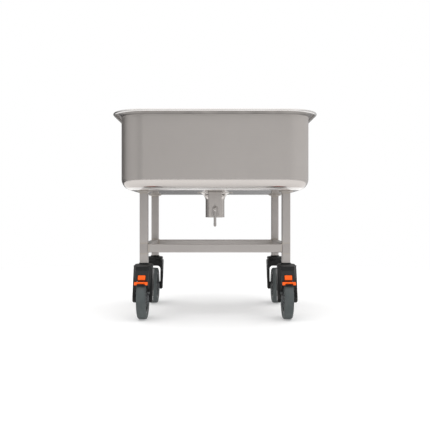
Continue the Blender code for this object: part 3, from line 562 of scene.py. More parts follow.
def evaluated(blank: bpy.types.Object) -> Mesh:
    """The plain mesh that an object's modifiers make; the object is removed."""
    bpy.context.scene.collection.objects.link(blank)
    shape = blank.evaluated_get(bpy.context.evaluated_depsgraph_get())
    mesh = bpy.data.meshes.new_from_object(shape)
    bpy.data.objects.remove(blank)
    return mesh


def baked(blank: bpy.types.Object, place: Matrix = Matrix()) -> Mesh:
    """The evaluated object as a welded mesh whose faces point outwards, moved into place."""
    mesh = evaluated(blank)
    mesh.materials.clear()
    body = bmesh.new()
    body.from_mesh(mesh)
    bmesh.ops.remove_doubles(body, verts=body.verts, dist=1e-6)
    bmesh.ops.recalc_face_normals(body, faces=body.faces)
    body.to_mesh(mesh)
    body.free()
    mesh.transform(place)
    return mesh


def with_modifier(mesh: Mesh, kind: str, **settings: object) -> bpy.types.Object:
    """An object with that mesh and one modifier."""
    blank = bpy.data.objects.new("blank", mesh)
    step = blank.modifiers.new(kind, kind)
    for name, value in settings.items():
        setattr(step, name, value)
    return blank


def prism(outlines: Sequence[Sequence[Point]], thickness: float, place: Matrix = Matrix()) -> Mesh:
    """A plate centred on its drawing plane; outlines inside the first one are holes."""
    curve = bpy.data.curves.new("outline", "CURVE")
    curve.dimensions = "2D"
    curve.fill_mode = "BOTH"
    curve.extrude = thickness / 2
    for outline in outlines:
        spline = curve.splines.new("POLY")
        spline.points.add(len(outline) - 1)
        for point, (x, y) in zip(spline.points, outline):
            point.co = (x, y, 0, 1)
        spline.use_cyclic_u = True
    return baked(bpy.data.objects.new("plate", curve), place)


def box(low: Sequence[float], high: Sequence[float], place: Matrix = Matrix(), fillet: float = 0.0) -> Mesh:
    """A block between two corners, with its upright edges rounded."""
    outline = [(low[0], low[1]), (high[0], low[1]), (high[0], high[1]), (low[0], high[1])]
    outline = filleted(outline, fillet) if fillet else outline
    return prism([outline], high[2] - low[2], place @ moved(0, 0, (low[2] + high[2]) / 2))


def slab(half_x: float, half_y: float, low: float, high: float, place: Matrix, fillet: float) -> Mesh:
    """A block round the place's Z axis, between two heights, with its upright edges rounded."""
    return box((-half_x, -half_y, low), (half_x, half_y, high), place, fillet)


def turned(profile: Sequence[Point], segments: int = 96, place: Matrix = Matrix()) -> Mesh:
    """A solid turned about Z from (radius, height) points; a profile off the axis closes on itself."""
    mesh = bpy.data.meshes.new("profile")
    links = [(i, i + 1) for i in range(len(profile) - 1)]
    if profile[0][0] > 0:
        links.append((len(profile) - 1, 0))
    mesh.from_pydata([(radius, 0, height) for radius, height in profile], links, [])
    sizes = {"steps": segments, "render_steps": segments, "use_merge_vertices": True, "merge_threshold": 1e-6}
    return baked(with_modifier(mesh, "SCREW", **sizes), place)


def rod(radius: float, low: float, high: float, place: Matrix = Matrix(), fillet: float = 0.0,
        segments: int = 48) -> Mesh:
    """A cylinder along the place's Z axis, with rounded ends."""
    profile = [(0, high), (radius, high), (radius, low), (0, low)]
    profile = filleted(profile, fillet, closed=False) if fillet else profile
    return turned(profile, segments, place)


def combined(base: Mesh, tools: Sequence[Mesh], operation: str) -> Mesh:
    """The base mesh with a Boolean step for each tool mesh."""
    body = bpy.data.objects.new("body", base)
    cutters = [bpy.data.objects.new("cutter", tool) for tool in tools]
    for cutter in cutters:
        bpy.context.scene.collection.objects.link(cutter)
        step = body.modifiers.new("Boolean", "BOOLEAN")
        step.operation = operation
        step.object = cutter
    result = baked(body)
    for cutter in cutters:
        bpy.data.objects.remove(cutter)
    return result


def joined(base: Mesh, *others: Mesh) -> Mesh:
    """One body from meshes that overlap."""
    return combined(base, others, "UNION")


def cut(base: Mesh, *tools: Mesh) -> Mesh:
    """The base mesh without its tools."""
    return combined(base, tools, "DIFFERENCE")


def gathered(*meshes: Mesh) -> Mesh:
    """Several closed meshes as one mesh, side by side."""
    body = bmesh.new()
    for mesh in meshes:
        body.from_mesh(mesh)
    result = bpy.data.meshes.new("gathered")
    body.to_mesh(result)
    body.free()
    return result


def eased(mesh: Mesh, width: float, segments: int = 3, angle: float = 40.0) -> Mesh:
    """The mesh with its sharp edges rounded."""
    limits = {"limit_method": "ANGLE", "angle_limit": math.radians(angle), "use_clamp_overlap": True}
    return baked(with_modifier(mesh, "BEVEL", width=width, segments=segments, **limits))


def moulded(mesh: Mesh, voxel: float, passes: int = 5) -> Mesh:
    """The mesh as one skin with soft moulded edges and fillets where its shapes meet."""
    skin = evaluated(with_modifier(mesh, "REMESH", mode="VOXEL", voxel_size=voxel))
    return evaluated(with_modifier(skin, "SMOOTH", factor=0.5, iterations=passes))


def shaded(mesh: Mesh, angle: float = 40.0) -> Mesh:
    """The mesh shaded smooth, with its flats kept flat and edges sharper than the angle kept crisp."""
    mesh.shade_smooth()
    mesh.set_sharp_from_angle(angle=math.radians(angle))
    return evaluated(with_modifier(mesh, "WEIGHTED_NORMAL", keep_sharp=True, weight=60))


def show(name: str, mesh: Mesh, finish: Finish, body: str, nodes: Sequence[str] = ()) -> None:
    """Puts a finished piece on the tank.

    Args:
        name: The piece's name.
        mesh: Its mesh, in the row frame.
        finish: What it is made of.
        body: The body it moves with.
        nodes: The CAD nodes it stands for.
    """
    mesh.name = name
    mesh.materials.clear()
    mesh.materials.append(finish.material())
    piece = bpy.data.objects.new(name, mesh)
    bpy.context.scene.collection.objects.link(piece)
    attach(piece, body)
    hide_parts(*nodes)
    log.info("%s: %d faces, rides on %s", name, len(mesh.polygons), body)


# Repeated pieces


class Recipe(Tree):
    """A Geometry Nodes tree with named inputs."""

    def __init__(self, name: str, **sizes: object) -> None:
        """Starts a tree; each size is an input with its default value."""
        super().__init__(bpy.data.node_groups.new(name, "GeometryNodeTree"))
        self.sizes = sizes
        self.tree.interface.new_socket("Geometry", in_out="INPUT", socket_type="NodeSocketGeometry")
        for size, value in sizes.items():
            kinds = {int: "NodeSocketInt", float: "NodeSocketFloat", tuple: "NodeSocketVector"}
            self.tree.interface.new_socket(size, in_out="INPUT", socket_type=kinds[type(value)])
        self.tree.interface.new_socket("Material", in_out="INPUT", socket_type="NodeSocketMaterial")
        self.tree.interface.new_socket("Geometry", in_out="OUTPUT", socket_type="NodeSocketGeometry")
        self.given = self.node("NodeGroupInput").outputs

    def close(self, geometry: bpy.types.NodeSocket) -> None:
        """Ends the tree: instances made real, shaded smooth, and given their material."""
        real = self.node("GeometryNodeRealizeInstances", inputs={0: geometry}).outputs[0]
        smooth = self.node("GeometryNodeSetShadeSmooth", inputs={0: real}).outputs[0]
        dressed = self.node("GeometryNodeSetMaterial", inputs={0: smooth, "Material": self.given["Material"]})
        self.node("NodeGroupOutput", inputs={0: dressed.outputs[0]})

    def make(self, host: Mesh, finish: Finish, **sizes: object) -> Mesh:
        """Runs the tree on a mesh.

        Args:
            host: The mesh that the tree starts from.
            finish: The material of what it makes.
            **sizes: Inputs that differ from their default.

        Returns:
            A plain mesh of the result.
        """
        blank = bpy.data.objects.new("host", host)
        step = blank.modifiers.new("Nodes", "NODES")
        step.node_group = self.tree
        values = {**self.sizes, **sizes, "Material": finish.material()}
        for item in self.tree.interface.items_tree:
            if item.in_out == "INPUT" and item.name in values:
                step[item.identifier] = values[item.name]
        return evaluated(blank)


class WeldBead(Recipe):
    """Overlapping ripples laid along the edges of a path mesh."""

    def __init__(self) -> None:
        """Each ripple is a flattened drop, square to the path, a little uneven in size."""
        super().__init__("weld_bead", Pitch=0.0014, Width=0.0021, Unevenness=0.14, Seed=11)
        given = self.given
        curve = self.node("GeometryNodeMeshToCurve", inputs={0: given["Geometry"]}).outputs[0]
        spread = {"Curve": curve, "Length": given["Pitch"]}
        points = self.node("GeometryNodeResampleCurve", {"mode": "LENGTH"}, spread).outputs[0]
        ball = {"Segments": 10, "Rings": 6, "Radius": 1.0}
        drop = self.node("GeometryNodeMeshUVSphere", inputs=ball).outputs[0]
        tangent = self.node("GeometryNodeInputTangent").outputs[0]
        turn = self.node("FunctionNodeAlignRotationToVector", {"axis": "Z"}, {"Vector": tangent}).outputs[0]
        width, pitch = Value(self, given["Width"]), Value(self, given["Pitch"])
        uneven = Value(self, given["Unevenness"])
        limits = {2: 1.0 - uneven, 3: 1.0 + uneven, "Seed": given["Seed"]}
        chance = Value(self, self.node("FunctionNodeRandomValue", {"data_type": "FLOAT"}, limits).outputs[1])
        across, along = width * chance, pitch * 0.95
        scale = self.node("ShaderNodeCombineXYZ", inputs={0: across, 1: across, 2: along}).outputs[0]
        inputs = {"Points": points, "Instance": drop, "Rotation": turn, "Scale": scale}
        self.close(self.node("GeometryNodeInstanceOnPoints", inputs=inputs).outputs[0])

    def along(self, paths: Sequence[Path], **sizes: object) -> Mesh:
        """The beads on several paths."""
        points, links = [], []
        for path, closed in paths:
            first = len(points)
            points += path
            links += [(i, i + 1) for i in range(first, len(points) - 1)]
            if closed:
                links.append((len(points) - 1, first))
        mesh = bpy.data.meshes.new("paths")
        mesh.from_pydata(points, links, [])
        return self.make(mesh, WELD, **sizes)


class RadialRibs(Recipe):
    """Copies of one rib turned about the X axis."""

    def __init__(self) -> None:
        """The copies are spread evenly over a full turn."""
        super().__init__("radial_ribs", Count=10)
        count = self.given["Count"]
        points = self.node("GeometryNodePoints", inputs={"Count": count}).outputs[0]
        place = Value(self, self.node("GeometryNodeInputIndex").outputs[0])
        angle = place * (2 * math.pi) / Value(self, count)
        turn = self.node("ShaderNodeCombineXYZ", inputs={0: angle}).outputs[0]
        rotation = self.node("FunctionNodeEulerToRotation", inputs={0: turn}).outputs[0]
        inputs = {"Points": points, "Instance": self.given["Geometry"], "Rotation": rotation}
        self.close(self.node("GeometryNodeInstanceOnPoints", inputs=inputs).outputs[0])


class RowOfRibs(Recipe):
    """Copies of one rib in a straight row."""

    def __init__(self) -> None:
        """The row starts at the rib's own place."""
        super().__init__("row_of_ribs", Count=5, Step=(0.003, 0.0, 0.0))
        inputs = {"Count": self.given["Count"], "Offset": self.given["Step"]}
        line = self.node("GeometryNodeMeshLine", inputs=inputs).outputs[0]
        inputs = {"Points": line, "Instance": self.given["Geometry"]}
        self.close(self.node("GeometryNodeInstanceOnPoints", inputs=inputs).outputs[0])


# Sub-assemblies


@dataclass(frozen=True)
class Layout:
    """The places that several sub-assemblies share, read from the frame."""

    underside: float
    rim_height: float
    leg_x: float
    leg_y: float
    rail_height: float
    leg_foot: float
    stem_height: float

    @classmethod
    def from_frame(cls) -> "Layout":
        """Reads the places from the boxes of the CAD nodes."""
        tub_low, tub_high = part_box("tub_shell")
        boxes = map(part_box, ("rail_left", "rail_front", "valve_stem"))
        side, front, stem = ((low + high) / 2 for low, high in boxes)
        return cls(tub_low.z, tub_high.z, -side.x, -front.y, side.z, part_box("leg_fl")[0].z, stem.z)

    def corners(self) -> tuple[tuple[str, float, float], ...]:
        """Name and place of each leg and its caster; f is the front, at -Y."""
        return (
            ("fl", -self.leg_x, -self.leg_y),
            ("fr", self.leg_x, -self.leg_y),
            ("rl", -self.leg_x, self.leg_y),
            ("rr", self.leg_x, self.leg_y),
        )


@dataclass
class Tub:
    """The pressed tub with its rolled rim."""

    layout: Layout
    sheet: float = 0.002
    rim_fillet: float = 0.015
    outlet_radius: float = 0.0702

    def profile(self) -> list[Point]:
        """(Distance out from the wall, height) from the underside round the rim and down to the floor."""
        top, bead, radius = self.layout.rim_height, BEAD_DIAMETER / 2, TUB_FLOOR_RADIUS
        floor_centre = (-radius, self.layout.underside + radius)
        rim_centre = (self.rim_fillet, top - self.sheet - self.rim_fillet)
        bead_start = 180 - math.degrees(math.asin(1 - self.sheet / bead))
        return (
            arc(floor_centre, radius, -90, 0, 14)
            + arc(rim_centre, self.rim_fillet, 180, 90, 10)
            + arc((RIM_REACH - bead, top - bead), bead, bead_start, 450, 20)
            + arc(rim_centre, self.rim_fillet + self.sheet, 90, 180, 10)
            + arc(floor_centre, radius - self.sheet, 0, -90, 14)
        )

    def shell(self) -> Mesh:
        """Rounded-rectangular rings skinned along the profile, with a floor round the outlet's hole."""
        body = bmesh.new()
        rings = []
        for out, height in self.profile():
            outline = rounded_rectangle(TUB_LENGTH / 2 + out, TUB_WIDTH / 2 + out, TUB_CORNER + out, 24)
            rings.append([body.verts.new((x, y, height)) for x, y in outline])
        for lower, upper in zip(rings, rings[1:]):
            for i in range(len(lower)):
                body.faces.new((lower[i - 1], lower[i], upper[i], upper[i - 1]))
        holes = []
        for ring in (rings[0], rings[-1]):
            height = ring[0].co.z
            hole = [body.verts.new((x, y, height)) for x, y in circle((0, 0), self.outlet_radius, 96)]
            holes.append(hole)
            edges = [body.edges.get((ring[i - 1], ring[i])) for i in range(len(ring))]
            edges += [body.edges.new((hole[i - 1], hole[i])) for i in range(len(hole))]
            bmesh.ops.triangle_fill(body, edges=edges, use_beauty=True)
        for i in range(len(holes[0])):
            body.faces.new((holes[0][i - 1], holes[0][i], holes[1][i], holes[1][i - 1]))
        bmesh.ops.recalc_face_normals(body, faces=body.faces)
        mesh = bpy.data.meshes.new("tub")
        body.to_mesh(mesh)
        body.free()
        return shaded(mesh)

    def build(self) -> None:
        """The tub is one piece."""
        show("tub", self.shell(), TUB, "tank", ["tub_shell"])


@dataclass
class Stand:
    """The square-tube frame and its welds."""

    layout: Layout
    tube: float = 0.030
    wall: float = 0.002
    corner: float = 0.003
    pad: float = 0.050
    pad_thickness: float = 0.005

    def square_tube(self, length: float, place: Matrix) -> Mesh:
        """A length of square tube, centred, along the place's Z axis."""
        half, inner = self.tube / 2, self.tube / 2 - self.wall
        outlines = [
            rounded_rectangle(half, half, self.corner, 6),
            rounded_rectangle(inner, inner, self.corner - self.wall, 4),
        ]
        return eased(prism(outlines, length, place), 0.0003, 2, 60)

    def leg(self) -> Mesh:
        """A leg with the round plate on its top."""
        foot, top = self.layout.leg_foot, self.layout.underside - GAP
        pad_low = top - self.pad_thickness
        tube = self.square_tube(pad_low - foot, moved(0, 0, (pad_low + foot) / 2))
        plate = turned(filleted([(0, top), (self.pad / 2, top), (self.pad / 2, pad_low), (0, pad_low)], 0.001,
                                closed=False), 64)
        return gathered(tube, plate)

    def square_path(self, x: float, y: float, z: float, reach: float) -> list[Place]:
        """A path round a leg at one height."""
        outline = rounded_rectangle(self.tube / 2 + reach, self.tube / 2 + reach, self.corner + reach, 4)
        return [(x + px, y + py, z) for px, py in outline]

    def weld_paths(self) -> list[Path]:
        """Fillet welds over and under each rail's ends, and round the top of each leg."""
        paths = []
        half, place, ends = self.tube / 2, self.layout, (-1, 1)
        line, lift = half - 0.002, half + WELD_LIFT
        pad_low = place.underside - GAP - self.pad_thickness
        for _, x, y in place.corners():
            to_x, to_y = -math.copysign(1, x), -math.copysign(1, y)
            for height in (place.rail_height - lift, place.rail_height + lift):
                paths.append(([(x + to_x * lift, y + end * line, height) for end in ends], False))
                paths.append(([(x + end * line, y + to_y * lift, height) for end in ends], False))
            paths.append((self.square_path(x, y, pad_low - 0.0004, 0.0004), True))
            ring = circle((x, y), self.pad / 2 + 0.0002)
            paths.append(([(px, py, place.underside - 0.0012) for px, py in ring], True))
        return paths

    def build(self) -> None:
        """Legs and rails, each in its own grinding direction, and all the welds."""
        place = self.layout
        leg = shaded(self.leg())
        for name, x, y in place.corners():
            mesh = leg.copy()
            mesh.transform(moved(x, y, 0))
            show("upright_" + name, mesh, LEG, "tank", ["leg_" + name])
        along_x, along_y = 2 * place.leg_x - self.tube - GAP, 2 * place.leg_y - self.tube - GAP
        for name, side in (("front", -1), ("rear", 1)):
            mesh = self.square_tube(along_x, moved(0, side * place.leg_y, place.rail_height) @ ALONG_X)
            show("cross_" + name, shaded(mesh), RAIL_X, "tank", ["rail_" + name])
        for name, side in (("left", -1), ("right", 1)):
            mesh = self.square_tube(along_y, moved(side * place.leg_x, 0, place.rail_height) @ ALONG_Y)
            show("side_" + name, shaded(mesh), RAIL_Y, "tank", ["rail_" + name])
        show("frame_welds", WeldBead().along(self.weld_paths(), Width=0.0019), WELD, "tank")


@dataclass
class Outlet:
    """The flared neck, its bracket and the butterfly valve."""

    layout: Layout
    diameter: float = 0.076
    drop: float = 0.0995
    flare: float = 0.032
    sheet: float = 0.002
    stem: float = 0.010
    stem_boss: float = 0.018
    stem_boss_reach: float = 0.008
    seat_thickness: float = 0.0035
    seat_height: float = 0.028
    disc_thickness: float = 0.005
    disc_boss: float = 0.016
    bracket_width: float = 0.052
    bracket_front: float = 0.097
    bracket_sheet: float = 0.0025
    bush: float = 0.016
    bush_flange: float = 0.020
    quadrant_radius: float = 0.031
    quadrant_half_angle: float = 32.0
    quadrant_sheet: float = 0.002
    lever: float = 0.010
    lever_length: float = 0.070
    grip: float = 0.0108
    grip_length: float = 0.014
    lever_hub: float = 0.016
    lever_hub_depth: float = 0.012
    nut: float = 0.014
    nut_height: float = 0.007

    def __post_init__(self) -> None:
        """Works out the places along the stem."""
        self.end = self.layout.underside - self.drop
        self.stem_line = moved(0, 0, self.layout.stem_height) @ ALONG_Y
        self.quadrant_back = self.bracket_front + GAP
        self.lever_back = self.quadrant_back + self.quadrant_sheet + 2 * GAP
        self.lever_front = self.lever_back + self.lever_hub_depth
        self.bore = self.diameter / 2 - self.sheet
        self.hole = self.stem / 2 + GAP

    def neck(self) -> Mesh:
        """The flared neck with a soft lip and its two stem bosses."""
        outer, bore, end, under = self.diameter / 2, self.bore, self.end, self.layout.underside
        centre = (outer + self.flare, under - self.flare)
        lip = filleted([(outer, end + 0.01), (outer, end), (bore, end), (bore, end + 0.01)], 0.0009, 4, False)
        profile = arc(centre, self.flare, 90, 180, 20) + lip
        profile += arc(centre, self.flare + self.sheet, 180, 90, 20)
        neck = turned(profile, 96)
        reach = outer + self.stem_boss_reach
        boss = [(0, -reach), (self.stem_boss / 2, -reach), (self.stem_boss / 2, reach), (0, reach)]
        bosses = turned(filleted(boss, 0.0015, 4, False), 48, self.stem_line)
        height = self.layout.stem_height
        passage = rod(bore, height - self.stem_boss, height + self.stem_boss, segments=96)
        hole = rod(self.hole, -reach - 0.01, reach + 0.01, self.stem_line)
        return shaded(cut(joined(neck, cut(bosses, passage)), hole))

    def bracket(self) -> Mesh:
        """The folded channel in front of the neck, with bend radii and a hole for the bush."""
        half, back, sheet = self.bracket_width / 2, -self.diameter / 4, self.bracket_sheet
        low, high = self.end, self.layout.underside - GAP
        face = -self.bracket_front
        outside = filleted([(-half, back), (-half, face), (half, face), (half, back)], 0.0042, 8, False)
        inside = filleted([(half - sheet, back), (half - sheet, face + sheet), (sheet - half, face + sheet),
                           (sheet - half, back)], 0.0017, 6, False)
        channel = prism([outside + inside], high - low, moved(0, 0, (high + low) / 2))
        outer = self.diameter / 2
        centre = (outer + self.flare, self.layout.underside - self.flare)
        room = [(0, high + 0.002), (outer + self.flare + GAP, high + 0.002)]
        room += arc(centre, self.flare - GAP, 90, 180, 16) + [(outer + GAP, low - 0.002), (0, low - 0.002)]
        hole = rod(self.bush / 2 + GAP, face - 0.002, face + 0.008, self.stem_line)
        return shaded(eased(cut(channel, turned(room, 96), hole), 0.0004, 2, 50))

    def stem_hole(self) -> Mesh:
        """A cutter for the stem, longer than the neck is wide."""
        return rod(self.hole, -0.05, 0.05, self.stem_line)

    def seat(self) -> Mesh:
        """The rubber ring in the neck."""
        outer, half = self.bore - GAP, self.seat_height / 2
        inner = outer - self.seat_thickness
        ring = filleted([(outer, half), (outer, -half), (inner, -half), (inner, half)], 0.0012)
        mesh = turned(ring, 96, moved(0, 0, self.layout.stem_height))
        return shaded(cut(mesh, self.stem_hole()))

    def disc(self) -> Mesh:
        """The butterfly disc, open, with its rounded edge and the boss for the stem."""
        radius, half = self.bore - GAP - self.seat_thickness - 0.0009, self.disc_thickness / 2
        edge = filleted([(0, half), (radius - 0.004, half), (radius, half - 0.001), (radius, 0.001 - half),
                         (radius - 0.004, -half), (0, -half)], 0.0012, 4, False)
        disc = turned(edge, 96, moved(0, 0, self.layout.stem_height) @ ALONG_X)
        reach = radius - self.disc_thickness
        boss = rod(self.disc_boss / 2, -reach, reach, self.stem_line, 0.0015)
        return shaded(cut(joined(disc, boss), self.stem_hole()))

    def stem_mesh(self) -> Mesh:
        """The stem with chamfered ends and its thinner nose."""
        radius, nose = self.stem / 2, self.stem / 2 - 0.001
        back = self.diameter / 2 + self.stem_boss_reach - 0.003
        shoulder = -self.lever_front
        profile = filleted([(0, back), (radius, back), (radius, shoulder), (nose, shoulder),
                            (nose, shoulder - 0.005), (0, shoulder - 0.005)], 0.0005, 3, False)
        return shaded(turned(profile, 48, self.stem_line))

    def lever_mesh(self) -> Mesh:
        """The lever: a hub, a round rod that blends into it, and a slightly thicker round end."""
        middle, hub_radius = -(self.lever_back + self.lever_front) / 2, self.lever_hub / 2
        hub = rod(hub_radius, -self.lever_front, -self.lever_back, self.stem_line, 0.0012)
        rod_radius, grip_radius = self.lever / 2, self.grip / 2
        grip_top = -self.lever_length + self.grip_length
        profile = [(0, -hub_radius / 2), (rod_radius + 0.0015, -hub_radius / 2),
                   (rod_radius + 0.0008, -hub_radius - 0.001), (rod_radius, -hub_radius - 0.005),
                   (rod_radius, grip_top + 0.003), (grip_radius, grip_top)]
        profile += arc((0, grip_radius - self.lever_length), grip_radius, 0, -90, 12)
        shank = turned(profile, 48, moved(0, middle, self.layout.stem_height))
        hole = rod(self.hole, -self.lever_front - 0.002, -self.lever_back + 0.002, self.stem_line)
        return shaded(eased(cut(joined(hub, shank), hole), 0.0003, 2, 50))

    def nut_mesh(self) -> Mesh:
        """A hexagonal nut with a domed cap."""
        front = -self.lever_front - GAP
        flat, tip = front - 0.0042, front - self.nut_height
        across = self.nut / 2
        hexagon = prism([circle((0, 0), across, 6)], front - flat, moved(0, 0, (front + flat) / 2))
        chamfer = turned([(0, front), (across - 0.0002, front), (across - 0.0002, flat + 0.0006),
                          (across - 0.0012, flat), (0, flat)], 48)
        dome = turned([(0, front - 0.001)] + [(x, tip + 0.0045 - y) for x, y in
                                              [(0.0052, -0.002)] + arc((0, 0), 0.0052, 0, 60, 5)
                                              + [(0.0015, 0.0045)]] + [(0, tip)], 48)
        nut = eased(joined(combined(hexagon, [chamfer], "INTERSECT"), dome), 0.0003, 2, 50)
        nut.transform(self.stem_line)
        return shaded(nut)

    def quadrant(self) -> Mesh:
        """The sector plate behind the lever, with a detent hole for each end of the lever's travel."""
        start, end = -90 - self.quadrant_half_angle, -90 + self.quadrant_half_angle
        outline = arc((0, 0), self.quadrant_radius, start, end, 24)
        outline += arc((0, 0), self.stem_boss / 2 + 0.002, 0, 180, 24)
        holes = [circle((0, 0), self.bush / 2 + GAP)]
        for angle in (start + 9, end - 9):
            holes.append(circle(arc((0, 0), self.quadrant_radius - 0.005, angle, angle, 1)[0], 0.0016, 20))
        middle = -self.quadrant_back - self.quadrant_sheet / 2
        place = moved(0, middle, self.layout.stem_height) @ DRAWN_IN_XZ
        plate = prism([filleted(outline, 0.002)] + holes, self.quadrant_sheet, place)
        return shaded(eased(plate, 0.0003, 2, 60))

    def bush_mesh(self) -> Mesh:
        """The stem's outer bush with its flange."""
        nose, flange = self.bush / 2, self.bush_flange / 2
        seat = -self.bracket_front + self.bracket_sheet + GAP
        tip = -self.quadrant_back - self.quadrant_sheet
        profile = [(flange, seat + 0.0015), (flange, seat), (nose, seat), (nose, tip), (self.hole, tip),
                   (self.hole, seat + 0.0015)]
        return shaded(turned(filleted(profile, 0.0003, 3), 48, self.stem_line))

    def weld_paths(self) -> list[Path]:
        """Welds down both flanges of the bracket, along its top, and round the mouth of the flare."""
        half, outer, under = self.bracket_width / 2, self.diameter / 2, self.layout.underside
        low, high = self.end + 0.002, under - self.flare
        meet = -math.sqrt(outer ** 2 - half ** 2) - WELD_LIFT
        heights = [low + step * (high - low) / 8 for step in range(9)]
        lines = (-half - WELD_LIFT, half + WELD_LIFT)
        paths = [([(line, meet, height) for height in heights], False) for line in lines]
        front, top = -self.bracket_front - WELD_LIFT, under - 0.0013
        paths.append(([(-half, front, top), (half, front, top)], False))
        paths.append(([(x, y, under - 0.0002) for x, y in circle((0, 0), outer + self.flare, 96)], True))
        return paths

    def build(self) -> None:
        """The fixed pieces ride on the tank, and the stem, disc and lever turn."""
        show("neck", self.neck(), NECK, "tank", ["outlet_neck"])
        show("bracket", self.bracket(), PLATE, "tank", ["lever_bracket"])
        show("sector_plate", self.quadrant(), SECTOR, "tank", ["quadrant_plate"])
        show("seat_ring", self.seat(), SEAL, "tank", ["valve_seat"])
        show("stem_bushing", self.bush_mesh(), BUSHING, "tank", ["stem_bush"])
        show("outlet_welds", WeldBead().along(self.weld_paths(), Width=0.0012), WELD, "tank")
        show("butterfly", self.disc(), FITTING, "valve", ["valve_disc"])
        show("stem", self.stem_mesh(), FITTING, "valve", ["valve_stem"])
        show("handle", self.lever_mesh(), FITTING, "valve", ["lever"])
        show("cap_nut", self.nut_mesh(), FITTING, "valve", ["lever_nut"])


@dataclass
class Caster:
    """A swivel caster, in its own frame: the origin is on the floor under the swivel axis, trailing to -Y."""

    layout: Layout
    wheel: float = 0.150
    tyre_width: float = 0.033
    tyre_shoulder: float = 0.0058
    rim_seat: float = 0.110
    rim_width: float = 0.028
    rim_wall: float = 0.006
    web: float = 0.010
    hub: float = 0.034
    hub_width: float = 0.048
    hub_bore: float = 0.024
    rib_count: int = 10
    axle: float = 0.010
    axle_head: float = 0.017
    axle_head_height: float = 0.0045
    axle_socket: float = 0.0092
    trail: float = 0.038
    arch: float = 0.158
    shoulder: float = 0.181
    head_top: float = 0.1963
    head: float = 0.068
    shoulder_width: float = 0.0692
    fork_width: float = 0.073
    fork_inside: float = 0.0525
    foot_radius: float = 0.0085
    arch_radius: float = 0.014
    fork_front: float = 0.035
    fork_back: float = 0.030
    boss: float = 0.032
    kingpin: float = 0.016
    kingpin_head: float = 0.026
    kingpin_head_height: float = 0.009
    race: float = 0.034
    race_height: float = 0.014
    collar: float = 0.037
    collar_height: float = 0.0045
    plug_height: float = 0.030
    plug_side: float = 0.0254
    cover_wall: float = 0.003
    cover_front_width: float = 0.047
    cover_angle: float = 124.3
    brow_rise: float = 0.0142
    brow_reach: float = 0.0215
    brow_slope: float = 0.0020
    cheek_drop: float = 0.018
    cheek_low: float = 0.026
    button_size: Point = (0.0262, 0.0178)
    button_drop: float = 0.0074
    button_proud: float = 0.0025
    button_depth: float = 0.003
    button_travel: float = 0.0026
    pedal_angle: float = 133.6
    pedal_size: Point = (0.0476, 0.0055)
    pedal_drop: float = 0.0060
    pedal_end: float = 0.009
    pedal_thickness: float = 0.0045
    arm_thickness: float = 0.003
    arm_clearance: float = 0.0006
    arm_width: float = 0.010
    brake_pin: float = 0.008
    shoe_clearance: float = 0.0040
    shoe_thickness: float = 0.0038
    voxel: float = 0.0009
    fine_voxel: float = 0.0007

    def __post_init__(self) -> None:
        """Works out the axle's place and the frames of the brake pieces."""
        self.radius = self.wheel / 2
        self.hub_point = (-self.trail, self.radius)
        self.axle_line = moved(0, *self.hub_point) @ ALONG_X
        self.pivot = (self.hub_point[0] + 0.002, self.hub_point[1] + 0.027)
        self.kingpin_seat = self.arch + 0.0025 + self.kingpin_head_height
        self.collar_top = self.head_top + GAP + self.collar_height
        self.upper = (-self.fork_front - 0.026, self.shoulder - 0.005)
        low = math.radians(self.cover_angle)
        reach = self.radius + 0.0027 + self.cover_wall
        self.lower = (self.hub_point[0] + reach * math.cos(low), self.hub_point[1] + reach * math.sin(low))
        self.pedal_back = self.shoe_clearance + self.shoe_thickness + GAP
        turn = math.radians(self.pedal_angle)
        self.pedal_frame = facing(self.pedal_angle, self.hub_point[0] + self.radius * math.cos(turn),
                                  self.hub_point[1] + self.radius * math.sin(turn))
        slope = math.degrees(math.atan2(self.upper[1] - self.lower[1], self.upper[0] - self.lower[0]))
        middle = [(a + b) / 2 for a, b in zip(self.upper, self.lower)]
        self.button_frame = facing(slope + 90, *middle) @ moved(0, -self.button_drop)

    # Swivel

    def fork(self, braked: bool) -> Mesh:
        """The moulded fork: arch, round head with a groove, ribbed pockets in its cheeks and axle bosses."""
        low = self.hub_point[1] - self.boss / 2 - GAP
        outer, top, inner = self.fork_width / 2, self.shoulder_width / 2, self.fork_inside / 2
        foot_x, foot_z = outer - self.foot_radius, low + self.foot_radius
        bend_x, bend_z = inner - self.arch_radius, self.arch - self.arch_radius
        front = arc((-foot_x, foot_z), self.foot_radius, 270, 180)
        front += [(-top, self.shoulder), (top, self.shoulder)]
        front += arc((foot_x, foot_z), self.foot_radius, 0, -90) + [(inner, low)]
        front += arc((bend_x, bend_z), self.arch_radius, 0, 90)
        front += arc((-bend_x, bend_z), self.arch_radius, 90, 180)
        front += [(-inner, low)]
        side = filleted([(self.fork_back, self.shoulder), (self.fork_back, (self.arch + self.shoulder) / 2)]
                        + [(self.hub_point[0] + self.boss / 2, self.hub_point[1])], 0.006, 5, False)
        side += arc(self.hub_point, self.boss / 2, 0, -180, 24)[1:]
        side += [(-self.fork_front, self.shoulder)]
        arch = prism([front], 6 * self.fork_front, DRAWN_IN_XZ)
        arch = combined(arch, (prism([side], 2 * self.fork_width, DRAWN_IN_YZ),), "INTERSECT")
        tools = [turned(self.axle_room(), 48, self.axle_line), turned(self.swivel_room(), 64)]
        tools += self.pockets()
        if braked:
            reach = (self.fork_inside + self.fork_width) / 4 + GAP
            tools.append(rod(self.brake_pin / 2 + GAP, -reach, reach, moved(0, *self.pivot) @ ALONG_X))
        return shaded(moulded(cut(joined(arch, self.head_mesh(), *self.bosses()), *tools), self.voxel), 180)

